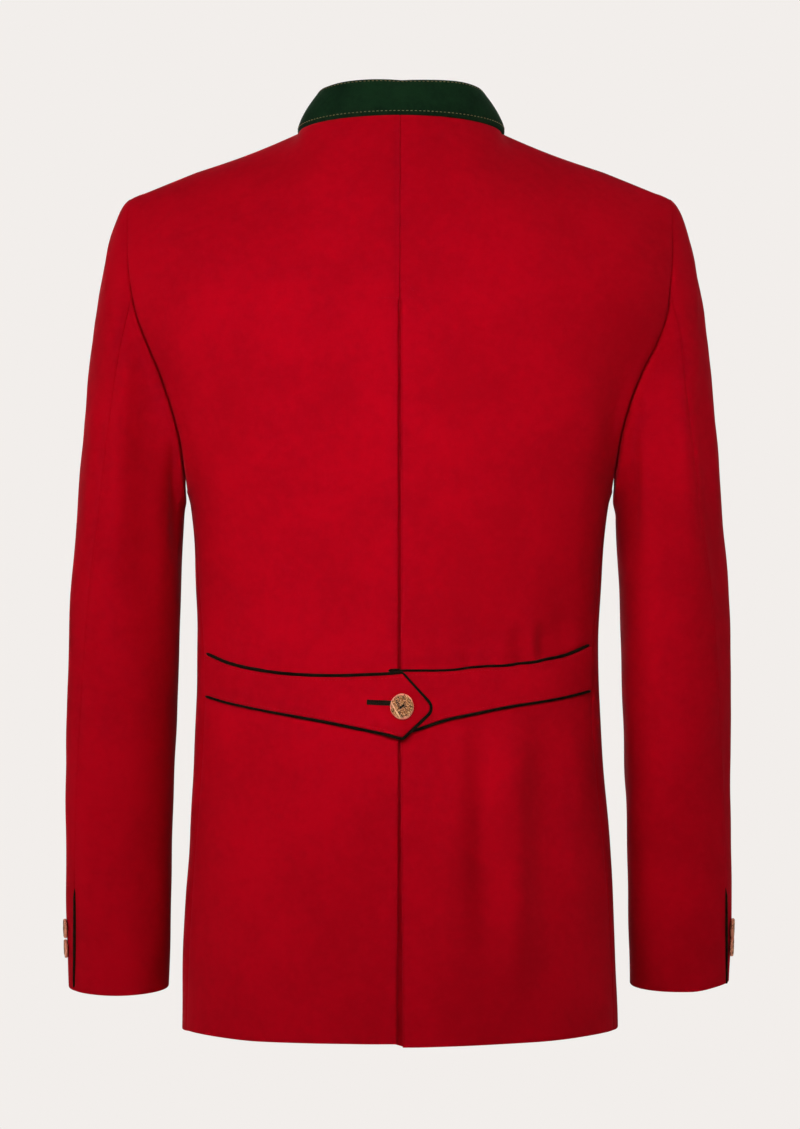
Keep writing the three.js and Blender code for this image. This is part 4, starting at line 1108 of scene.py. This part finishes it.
def vent(side):
    surface = sleeves["top", side][1]
    grid, normals = surface["grid"][:, -1], surface["normals"][:, -1]
    picked = (grid[:, 2] < VENT["top"]) & (grid[:, 2] > VENT["bottom"] - 2)
    line, facing = grid[picked], normals[picked]
    beside = surface["grid"][picked, -4]
    line = line + unit(line - beside) * 0.4 + facing * (VENT["lift"] + ARMHOLE_ROLL["round"])
    far = lengths_along(line)
    even = np.linspace(0, far[-1], 64)
    line, facing = (sampled(v, far, even) for v in (line, facing))
    share = even / even[-1]
    inwards = unit(np.cross(facing, np.gradient(line, axis=0))) * side
    bow = sum(k * share**i for i, k in enumerate(VENT["bow"]))
    line = line + inwards * bow[:, None] - facing * (1.6 * ease(10, 0, even))[:, None]
    radius = mix(*VENT["radius"], np.sin(math.pi * share) ** 0.8)
    braid(f"vent_piping_{hand(side)}", line, facing, radius, twist=0.05)


for side in (1, -1):
    vent(side)


# ================================================================ the back belt
# Two tabs of the wool, 2.4 mm thick, that come out of the side seams. The left one ends in a point
# that laps over the right one and buttons there. Both are edged with dark green braid and have a
# row of red topstitching inside it. The buttonhole is worked over in dark green thread.
BELT_THICK = 2.4
BELT_GAP = 0.55  # between the back and a tab
BELT_LAP = {"flat": 24, "over": 11}  # the left tab climbs over the right one in this stretch
BELT_LEFT = table(
    "x top bottom",
    (154.2, -424, -456),
    (135.2, -431.7, -461),
    (98.2, -438.6, -468.1),
    (59.2, -440.6, -475),
    (19.2, -439.5, -483),
    (-1.8, -437.8, -488.4),
)
BELT_POINT = {"x": -23.3, "z": -465.2, "blunt": 2.7}
BELT_RIGHT = table(
    "x top bottom",
    (9.2, -436.6, -484),
    (-7.8, -436.2, -482.2),
    (-36.3, -436, -473.4),
    (-62.8, -433.6, -467.6),
    (-88.8, -432, -463),
    (-128.8, -426, -456.6),
    (-150.8, -417.1, -451.7),
)
BELT_ROLL = {"round": 1.1, "hollow": 0, "reach": 1}
BELT_COLUMN = 2.6  # how far apart a tab's columns lie
# Radius at the centre and at the side.
PIPING = {"top_left": (1.3, 1.3), "top_right": (0.9, 1.3), "bottom": (1.2, 0.85), "lift": 1.2}
LAP_HEIGHT = 2 * BELT_GAP + BELT_THICK


def place_on(surface, x, z, column, across):
    """The place on a panel at x and height z, and its normal. Heights are looked up in a column."""
    grid, normals = surface["grid"], surface["normals"]
    i = int(np.clip(np.searchsorted(-grid[:, column, 2], -z) - 1, 0, len(grid) - 2))
    (p0, n0), (p1, n1) = (
        [sampled(v[row], across(grid[row, :, 0]), x) for v in (grid, normals)] for row in (i, i + 1)
    )
    k = (z - p0[2]) / (p1[2] - p0[2])
    return mix(p0, p1, k), unit(mix(n0, n1, k))


def back_place(x, z):
    p, n = place_on(backs[1 if x >= 0 else -1][1], abs(x), z, 3, np.abs)
    if abs(x) < 4:  # the belt spans the pleat's slit
        p[0] = x
    return p, n


def left_lift(x):
    return mix(BELT_GAP, LAP_HEIGHT, ease(BELT_LAP["flat"], BELT_LAP["over"], x))


def right_lift(_):
    return BELT_GAP


def tab_edges(rows, point=None):
    """Columns of a tab: x, top and bottom, crowded at its ends."""
    start, end = rows["x"][0], rows["x"][-1]
    crowd = EDGE_STEPS * math.copysign(1, end - start)
    stop = end if point else end - crowd[-2]
    inner = np.linspace(start + crowd[-2], stop, int(abs(end - start) / BELT_COLUMN))
    xs = [*(start + crowd[:-2]), *inner, *([] if point else end - crowd[:-2][::-1])]
    lines = [(x, read(rows, "top", x, by="x"), read(rows, "bottom", x, by="x")) for x in xs]
    if point:
        x, top, bottom = lines[-1]
        for k in [*np.linspace(0, 0.9, 9)[1:], 0.93, 0.955, 0.975, 0.99, 1]:
            narrow = point["blunt"] * math.sqrt(max(1 - max((k - 0.9) / 0.1, 0) ** 2 * 0.8, 0.05))
            z = point["z"]
            lines.append((mix(x, point["x"], k), mix(top, z + narrow, k), mix(bottom, z - narrow, k)))
    return lines


def belt_tab(name, rows, lift, point=None):
    columns = tab_edges(rows, point)
    crowd = np.array([0, 0.006, 0.016, 0.032, 0.055, 0.09])
    shares = np.concatenate([crowd, np.linspace(0.09, 0.91, 12)[1:-1], 1 - crowd[::-1]])
    grid, normals = [], []
    for share in shares:
        places = [back_place(x, mix(top, bottom, share)) for x, top, bottom in columns]
        grid.append([p + n * (lift(p[0]) + BELT_THICK) for p, n in places])
        normals.append([n for _, n in places])
    grid, normals = np.array(grid), np.array(normals)
    edges = from_edges(grid)
    free = ["top", "bottom"] + (["last"] if point else [])
    turned = np.maximum.reduce([roll(edges[k], BELT_ROLL) for k in free])
    near = np.minimum.reduce([edges[k] for k in free])
    puff = 0.3 * ease(3, 9, near)
    groove = 0.28 * np.exp(-(((near - 2.3) / 0.8) ** 2))
    uneven = 0.22 * np.sin(grid[..., 0] / 17 + 1) * np.sin(grid[..., 2] / 23)
    outer = grid + normals * (puff + uneven * ease(1, 6, near) - turned - groove)[..., None]
    thick = np.maximum(BELT_THICK + puff - 2 * turned - 0.05, THIN_EDGE)
    made = wool_piece(name, outer, normals, thick)
    return made, {"grid": outer, "normals": normals, "edges": edges, "columns": columns}


belts = {
    "left": belt_tab("belt_left", BELT_LEFT, left_lift, BELT_POINT),
    "right": belt_tab("belt_right", BELT_RIGHT, right_lift),
}


def edge_line(columns, which):
    return [(c[0], c[1 if which == "top" else 2]) for c in columns]


def braid_radius(x, z):
    side = ease(30, 150, abs(x))
    top = mix(*PIPING["top_left" if x > 0 else "top_right"], side)
    return mix(mix(*PIPING["bottom"], side), top, ease(-470, -440, z))


def piping(name, flat, lift, outwards):
    """A braid along a belt's edge. flat is its line as x and z, in order, with the tab on its
    right hand when outwards is 1."""
    flat = np.array(flat)
    far = lengths_along(flat)
    even = np.linspace(0, far[-1], int(far[-1] / 1.6))
    flat = sampled(flat, far, even)
    way = unit(np.gradient(flat, axis=0))
    soft = unit(np.array([way[max(i - 1, 0):i + 2].mean(0) for i in range(len(way))]))
    out = soft[:, ::-1] * [-outwards, outwards]
    line, facing, radii = [], [], []
    for at, (x, z), (ox, oz) in zip(even, flat, out):
        radii.append(braid_radius(x, z))
        reach = SEAM * 0.4 + radii[-1]
        p, n = back_place(x + ox * reach, z + oz * reach)
        wobble = 0.12 * math.sin(at / 6.3) + 0.1 * math.sin(at / 2.9 + 1)
        line.append(p + n * (lift(x) + PIPING["lift"] + wobble))
        facing.append(n)
    braid(name, np.array(line), np.array(facing), np.array(radii), twist=0.06)


left_columns, right_columns = (belts[name][1]["columns"] for name in ("left", "right"))
left_edge = edge_line(left_columns, "top") + edge_line(left_columns, "bottom")[::-1]
piping("belt_left_piping", left_edge, left_lift, -1)
piping("belt_right_piping_top", edge_line(right_columns, "top"), right_lift, -1)
piping("belt_right_piping_bottom", edge_line(right_columns, "bottom"), right_lift, 1)

belt_rows = []
for key, seed in (("left", 11), ("right", 12)):
    for edge in ("top", "bottom"):
        line, facing = at_level(belts[key][1], edge, 2.3)
        keep = slice(3, -12) if key == "left" else slice(3, -3)
        belt_rows += stitches_along(line[keep], facing[keep], length=2.3, gap=0.8, seed=seed)
sewn("belt_stitching", belt_rows, RED_THREAD, radius=0.24)

BUTTONHOLE = {
    "from": 25, "to": 3, "step": -0.38, "z": -460.4, "slope": -0.06, "half": 2.0, "cross": 0.45,
    "radius": 0.34,
}


def buttonhole():
    """Close stitches over both lips of the hole, and a bar across its far end."""
    ends, hole = [], BUTTONHOLE
    for i, x in enumerate(np.arange(hole["from"], hole["to"], hole["step"])):
        z = hole["z"] - hole["slope"] * (x - hole["from"])
        for up in (1, -1):
            a, n = back_place(x + 0.1 * math.sin(2.3 * i), z - up * hole["cross"])
            b, _ = back_place(x, z + up * (hole["half"] + 0.14 * math.sin(i * 1.7)))
            rise = n * (left_lift(x) + BELT_THICK + 0.42)
            ends.append((a + rise, b + rise - n * 0.12, n))
    x = hole["from"] + 0.3
    for k in np.linspace(-0.45, 0.45, 5):
        a, n = back_place(x + k, hole["z"] + hole["half"])
        b, _ = back_place(x + k, hole["z"] - hole["half"])
        rise = n * (left_lift(x) + BELT_THICK + 0.5)
        ends.append((a + rise, b + rise, n))
    sewn("belt_buttonhole", ends, GREEN_THREAD, hole["radius"])


buttonhole()


# ================================================================ the pleat's tack
# Small red stitches that hold the top of the pleat: a short bar across the centre, and a slanting
# row on the right panel above it.
TACK = (  # start and end of each row
    ((17.5, -141.6), (-0.5, -141.8)),
    ((-6.5, -141.6), (-12, -142)),
    ((-1, -126.8), (-12, -137.2)),
)


def tack():
    ends = []
    for start, stop in TACK:
        line = np.linspace(start, stop, 30)
        line, facing = (np.array(v) for v in zip(*(back_place(x, z) for x, z in line)))
        ends += stitches_along(line, facing, length=1.5, gap=0.9, seed=21, inset=0.2)
    sewn("pleat_tack", ends, RED_THREAD, radius=0.24)


tack()


# ================================================================ the buttons
# Slices of staghorn, 3.5 mm thick, slightly oval, with a brown streaked face, a painted highlight round
# the rim and painted shade in the thread holes. Each is sewn on with dark thread through two holes: one on
# the belt, two at each cuff, five in front.
BUTTON = {"belt": 19.6, "cuff": 15.8, "front": 20.5, "lift": 0.9, "thick": 3.5}
BELT_BUTTON = {"x": -1.6, "z": -464.4}
CUFF_BUTTONS = {"heights": (-647, -662.6), "angle": 13, "tip": 0.06, "lift": 0.35}
FRONT_BUTTONS = (-104, -204, -304, -404, -504)
# Half the way between the thread holes, their radius and depth, and how far their line is turned.
HOLES = {"apart": 1.35, "radius": 1.05, "deep": 1.9, "turn": 0.5}
HOLE_WAY = np.array([math.cos(HOLES["turn"]), math.sin(HOLES["turn"])])  # from hole to hole
# A button's back and its edge: shares of its radius, with heights above its seat or below its face.
BUTTON_SEAT = ((0.5, 0), (0.8, 0.05), (0.93, 0.4), (0.985, 0.9), (1.0, 1.5))
BUTTON_EDGE = ((0.995, 1.2), (0.975, 0.6), (0.94, 0.25))
BUTTON_OVAL = (0.955, 1.03)
BUTTON_WOBBLE = ((2, 0.012), (3, 0.01), (7, 0.006))  # waves round the edge and how high they are
PORES = 9  # grooves worn into each face
FRONT_HOLE = {"from": -14, "to": 3, "step": 0.62, "cross": 0.12, "half": 1.7, "radius": 0.34}


def staghorn():
    """Staghorn: brown pitted streaks along the grain, a painted pinkish highlight round the rim, a painted
    pale highlight along one raised ridge, and painted shade in the thread holes. The mesh carries each
    point's place on its own button along the grain, as shares of the radius."""
    material, tree, shader = new_material("staghorn")
    place = wired(tree, "ShaderNodeAttribute", {}, attribute_name="disc").outputs["Vector"]
    split = wired(tree, "ShaderNodeSeparateXYZ", {0: place})
    flat = wired(tree, "ShaderNodeCombineXYZ", {0: split.outputs[0], 1: split.outputs[1], 2: 0.0})
    links = {0: flat.outputs[0]}
    reach = wired(tree, "ShaderNodeVectorMath", links, operation="LENGTH").outputs["Value"]
    grain = noise(tree, place, 3.4, 4, 0.7, (1.5, 0.3, 1.0))
    pores = noise(tree, place, 8.0, 3, 0.65, (1.5, 0.55, 1.0))
    specks = noise(tree, place, 13.0, 2, 0.5, (1.3, 0.7, 1.0))
    streaks = calc(tree, "ADD", calc(tree, "MULTIPLY", grain, 0.55), calc(tree, "MULTIPLY", pores, 0.45))
    dark, light = (0.022, 0.006, 0.001, 1), (0.25, 0.08, 0.014, 1)
    brown = blend(tree, spread_out(tree, streaks, 0.43, 0.54), dark, light)
    mottled = blend(tree, spread_out(tree, specks, 0.5, 0.64), brown, (0.72, 0.36, 0.16, 1))
    # painted highlight: a pale stripe along the raised ridge near one side of the face
    bent = calc(tree, "MULTIPLY", calc(tree, "SUBTRACT", grain, 0.5), 0.35)
    off_ridge = calc(tree, "ABSOLUTE", calc(tree, "ADD", calc(tree, "ADD", split.outputs[0], 0.6), bent))
    ridge_highlight = calc(tree, "SUBTRACT", 1.0, spread_out(tree, off_ridge, 0.02, 0.08))
    ridge_highlighted = blend(tree, calc(tree, "MULTIPLY", ridge_highlight, 0.85), mottled, (0.85, 0.5, 0.28, 1))
    # painted highlight: a pale pinkish ring round the edge of the face, with a ragged inner border
    tooth = calc(tree, "MULTIPLY", calc(tree, "SUBTRACT", pores, 0.5), 0.5)
    ragged = calc(tree, "ADD", reach, tooth)
    rim = spread_out(tree, ragged, 0.86, 0.96)
    rim_highlighted = blend(tree, rim, ridge_highlighted, (0.85, 0.33, 0.2, 1))
    # painted shade: the thread holes are coloured near black
    hole = wired(tree, "ShaderNodeAttribute", {}, attribute_name="hole").outputs["Fac"]
    colour = blend(tree, hole, rim_highlighted, (0.012, 0.004, 0.001, 1))
    tree.links.new(colour, shader.inputs["Base Color"])
    links = {"Value": streaks, "To Min": 0.65, "To Max": 0.36}
    rough = wired(tree, "ShaderNodeMapRange", links).outputs[0]
    tree.links.new(rough, shader.inputs["Roughness"])
    raised = wired(tree, "ShaderNodeBump", {"Strength": 0.7, "Distance": 0.0006, "Height": streaks})
    tree.links.new(raised.outputs["Normal"], shader.inputs["Normal"])
    shader.inputs["Specular IOR Level"].default_value = 0.2
    return material


STAGHORN = staghorn()


def along_grain(x, y, seed):
    turn = math.radians(19) + np.random.default_rng(seed).uniform(-0.12, 0.12)
    return x * math.cos(turn) + y * math.sin(turn), y * math.cos(turn) - x * math.sin(turn)


def button_face(x, y, seed):
    """Height of a button's worn face over its flat one, x and y as shares of its radius."""
    draw = np.random.default_rng(seed)
    u, v = along_grain(x, y, seed)
    height = 0.12 * np.cos(u * 2.2) - 0.45 * ease(-0.62, -0.9, u)
    height += 0.25 * np.exp(-(((u + 0.6) / 0.06) ** 2))
    for _ in range(PORES):
        at, wide, deep = draw.uniform(-0.8, 0.8), draw.uniform(0.02, 0.06), draw.uniform(0.06, 0.2)
        start, stop = sorted(draw.uniform(-1.1, 1.1, 2))
        bend = draw.uniform(-0.12, 0.12)
        across = np.exp(-(((u - at - bend * v) / wide) ** 2))
        height -= deep * across * ease(start, start + 0.2, v) * ease(stop + 0.4, stop + 0.2, v)
    return height


def in_hole(x, y):
    """1 inside the two thread holes and 0 outside them."""
    c, s = HOLES["apart"] * HOLE_WAY
    away = np.minimum(np.hypot(x - c, y - s), np.hypot(x + c, y + s))
    return ease(HOLES["radius"] * 1.25, HOLES["radius"] * 0.7, away)


def thickness(diameter):
    return BUTTON["thick"] * diameter / BUTTON["belt"]


def button_mesh(diameter, seed, around):
    """A button about its own axis, its seat at height 0. Gives points, faces and the points' marks."""
    draw = np.random.default_rng(seed)
    r, top = diameter / 2, thickness(diameter)
    angles = np.linspace(0, 2 * math.pi, around, endpoint=False)
    wobble = 1 + sum(high * np.sin(k * angles + draw.uniform(0, 6)) for k, high in BUTTON_WOBBLE)
    oval = np.stack([np.cos(angles), np.sin(angles)], 1) * BUTTON_OVAL * wobble[:, None] * r
    outline = BUTTON_SEAT + tuple((share, top - below) for share, below in BUTTON_EDGE)
    rings = [np.concatenate([oval * share, np.full((around, 1), high)], 1) for share, high in outline]
    for share in np.linspace(0.9, 0.03, 34):
        x, y = (oval * share).T
        worn = button_face(x / r, y / r, seed) * ease(0.96, 0.8, np.hypot(x, y) / r)
        rings.append(np.stack([x, y, top + worn - HOLES["deep"] * in_hole(x, y)], 1))
    rings = np.array(rings)
    points = np.concatenate([rings.reshape(-1, 3), [[0, 0, 0], [0, 0, rings[-1, :, 2].mean()]]])
    at = np.arange(len(points) - 2).reshape(-1, around)
    after = np.roll(at, -1, axis=1)
    walls = np.stack([at[:-1], after[:-1], after[1:], at[1:]], -1).reshape(-1, 4)
    middle = np.full(around, len(points) - 2)
    caps = [np.stack([after[0], at[0], middle], 1), np.stack([at[-1], after[-1], middle + 1], 1)]
    faces = [face for group in (walls, *caps) for face in group.tolist()]
    x, y, z = points.T
    marks = {
        "disc": np.stack([*along_grain(x / r, y / r, seed), z / r + seed * 3.7], 1),
        # the hole mark carries the painted shade inside the thread holes
        "hole": np.stack([in_hole(x, y) * (z > 1)] * 3, 1),
    }
    return points, faces, marks


def seat(normal, turned):
    """Axes of a button that lies on a surface, turned by an angle: its own x, y and z."""
    y = unit(np.array([0, 0, 1]) - normal * normal[2])
    c, s = math.cos(turned), math.sin(turned)
    return np.array([[c, s, 0], [-s, c, 0], [0, 0, 1]]) @ np.stack([np.cross(y, normal), y, normal])


def button(name, kind, place, normal, lift, seed, turned, around=72):
    """A button in place of the solid of that name. Gives the threads through its holes."""
    points, faces, marks = button_mesh(BUTTON[kind], seed, around)
    axes, foot = seat(normal, turned), place + normal * lift
    made = new_object(f"{name}_horn", points @ axes + foot, faces, STAGHORN, marks)
    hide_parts(name)
    (c, s), high = HOLE_WAY, thickness(BUTTON[kind]) - 0.25
    threads = []
    for k in (-0.32, 0, 0.32):
        a, b = (
            np.array([apart * c - k * s, apart * s + k * c, high]) @ axes + foot
            for apart in (-HOLES["apart"], HOLES["apart"])
        )
        threads.append((a, b, normal))
    return threads


def sleeve_place(z, angle, side):
    def at(height, turn):
        return hang(sleeve_points(height, np.array([turn]))[0] * [side, 1, 1])

    n = unit(np.cross(at(z - 2, angle) - at(z + 2, angle), at(z, angle + 1) - at(z, angle - 1)))
    return at(z, angle), n * np.sign(n[0]) * side


def front_place(x, z):
    return place_on(fronts[1][1], x, z, 14, lambda xs: xs)


place, normal = back_place(BELT_BUTTON["x"], BELT_BUTTON["z"])
belt_lift = LAP_HEIGHT + BELT_THICK + BUTTON["lift"]
threads = button("belt_button", "belt", place, normal, belt_lift, seed=5, turned=0.1, around=120)

for side in (1, -1):
    for i, z in enumerate(CUFF_BUTTONS["heights"]):
        place, normal = sleeve_place(z, CUFF_BUTTONS["angle"], side)
        normal = unit(normal - [0, CUFF_BUTTONS["tip"], 0])
        name = f"cuff_button_{hand(side)}_{i + 1}"
        threads += button(name, "cuff", place, normal, CUFF_BUTTONS["lift"],
                          seed=30 + 7 * i + 3 * side, turned=0.7 * i + 0.4 * side)

front_holes = []
for i, z in enumerate(FRONT_BUTTONS):
    place, normal = front_place(0.01, z)
    threads += button(f"front_button_{i + 1}", "front", place, normal, BUTTON["lift"],
                      seed=60 + 5 * i, turned=0.5 * i - 1)
    for x in np.arange(FRONT_HOLE["from"], FRONT_HOLE["to"], FRONT_HOLE["step"]):
        for up in (1, -1):
            a, n = front_place(x, z + up * FRONT_HOLE["cross"])
            b, _ = front_place(x, z + up * FRONT_HOLE["half"])
            front_holes.append((a + n * 0.2, b + n * 0.08, n))
sewn("button_threads", threads, GREEN_THREAD, radius=0.32)
sewn("front_buttonholes", front_holes, GREEN_THREAD, FRONT_HOLE["radius"])


# ================================================================ the studio
# A pale seamless floor and backdrop. Soft light comes from the camera's left, partly from high up,
# and a weaker fill from its right. Two lights at the sides draw a thin edge of light along the
# sleeves, and one lights the jacket's other side.
STAGE = {"floor": -1.52, "reach": 30.0}
VIEW = {"height": -0.3515, "distance": 4.0, "frame": 0.81 * 1.129, "sensor": 36}
PALE = (0.888, 0.855, 0.831)


def for_camera(tree, lit, seen):
    """One shader for what the camera sees and another for all other light."""
    rays = tree.nodes.new("ShaderNodeLightPath").outputs["Is Camera Ray"]
    links = {0: rays, 1: lit.outputs[0], 2: seen.outputs[0]}
    return wired(tree, "ShaderNodeMixShader", links).outputs[0]


def stage():
    ring = [
        (STAGE["reach"] * math.cos(a), STAGE["reach"] * math.sin(a), STAGE["floor"])
        for a in np.linspace(0, 2 * math.pi, 96, endpoint=False)
    ]
    mesh = bpy.data.meshes.new("floor")
    mesh.from_pydata(ring, [], [list(range(len(ring)))])
    material, tree, shader = new_material("pale_floor")
    shader.inputs["Base Color"].default_value = (*PALE, 1)
    shader.inputs["Roughness"].default_value = 0.95
    glow = wired(tree, "ShaderNodeEmission", {"Color": (*PALE, 1), "Strength": 1.0})
    both = for_camera(tree, shader, glow)
    tree.links.new(both, tree.nodes["Material Output"].inputs["Surface"])
    mesh.materials.append(material)
    placed("floor", mesh)


def world():
    made = bpy.data.worlds.new("studio")
    bpy.context.scene.world = made
    made.use_nodes = True
    tree = made.node_tree
    tree.nodes.clear()
    seen = wired(tree, "ShaderNodeBackground", {"Color": (*PALE, 1), "Strength": 1.0})
    lit = wired(tree, "ShaderNodeBackground", {"Color": (1.0, 0.985, 0.97, 1), "Strength": 0.1})
    wired(tree, "ShaderNodeOutputWorld", {0: for_camera(tree, lit, seen)})


def soft_light(name, place, aim, size, power, spread):
    """A soft box, size wide and high. A small spread gathers its light like a grid in front of it."""
    lamp = bpy.data.lights.new(name, "AREA")
    lamp.shape, lamp.energy, lamp.spread = "ELLIPSE", power, math.radians(spread)
    lamp.size, lamp.size_y = size
    made = placed(name, lamp)
    made.location = place
    way = [a - p for a, p in zip(aim, place)]
    made.rotation_euler = Vector(way).to_track_quat("-Z", "Y").to_euler()


def camera():
    lens = bpy.data.cameras.new("camera")
    made = placed("camera", lens)
    lens.sensor_fit, lens.sensor_height = "VERTICAL", VIEW["sensor"]
    lens.lens = VIEW["sensor"] * VIEW["distance"] / VIEW["frame"]
    made.location = (0, VIEW["distance"], VIEW["height"])
    made.rotation_euler = (math.pi / 2, 0, math.pi)
    bpy.context.scene.camera = made


stage()
world()
LIGHTS = (  # name, place, what it points at, size, power, spread
    ("key", (0.45, 3.0, 0.6), (-0.02, 0, -0.245), (0.5, 0.65), 0.8, 16.5),
    ("skirt", (0.45, 3.0, 0.6), (0.04, 0, -0.56), (0.5, 0.6), 0.17, 17),
    ("side_key", (1.1, 3.0, 0.7), (0, 0, -0.3), (1.0, 1.0), 9.5, 180),
    ("window", (2.9, 1.6, 0.7), (0, 0, -0.3), (0.9, 0.9), 22, 180),
    ("high", (1.6, 2.2, 2.0), (0, 0, -0.3), (0.9, 0.9), 13, 180),
    ("fill", (-1.8, 2.7, 0.3), (0, 0, -0.3), (1.6, 1.6), 9, 180),
    ("rim_left", (2.6, -0.5, 0.2), (0.2, 0, -0.4), (1.4, 1.4), 8, 180),
    ("rim_right", (-2.6, -0.5, 1.1), (-0.2, 0, -0.3), (1.4, 1.4), 20, 180),
    ("front_fill", (0.3, -3.2, 0.8), (0, 0, -0.4), (2.4, 2.4), 60, 180),
)
for light in LIGHTS:
    soft_light(*light)
camera()
bpy.context.scene.view_settings.view_transform = "Standard"
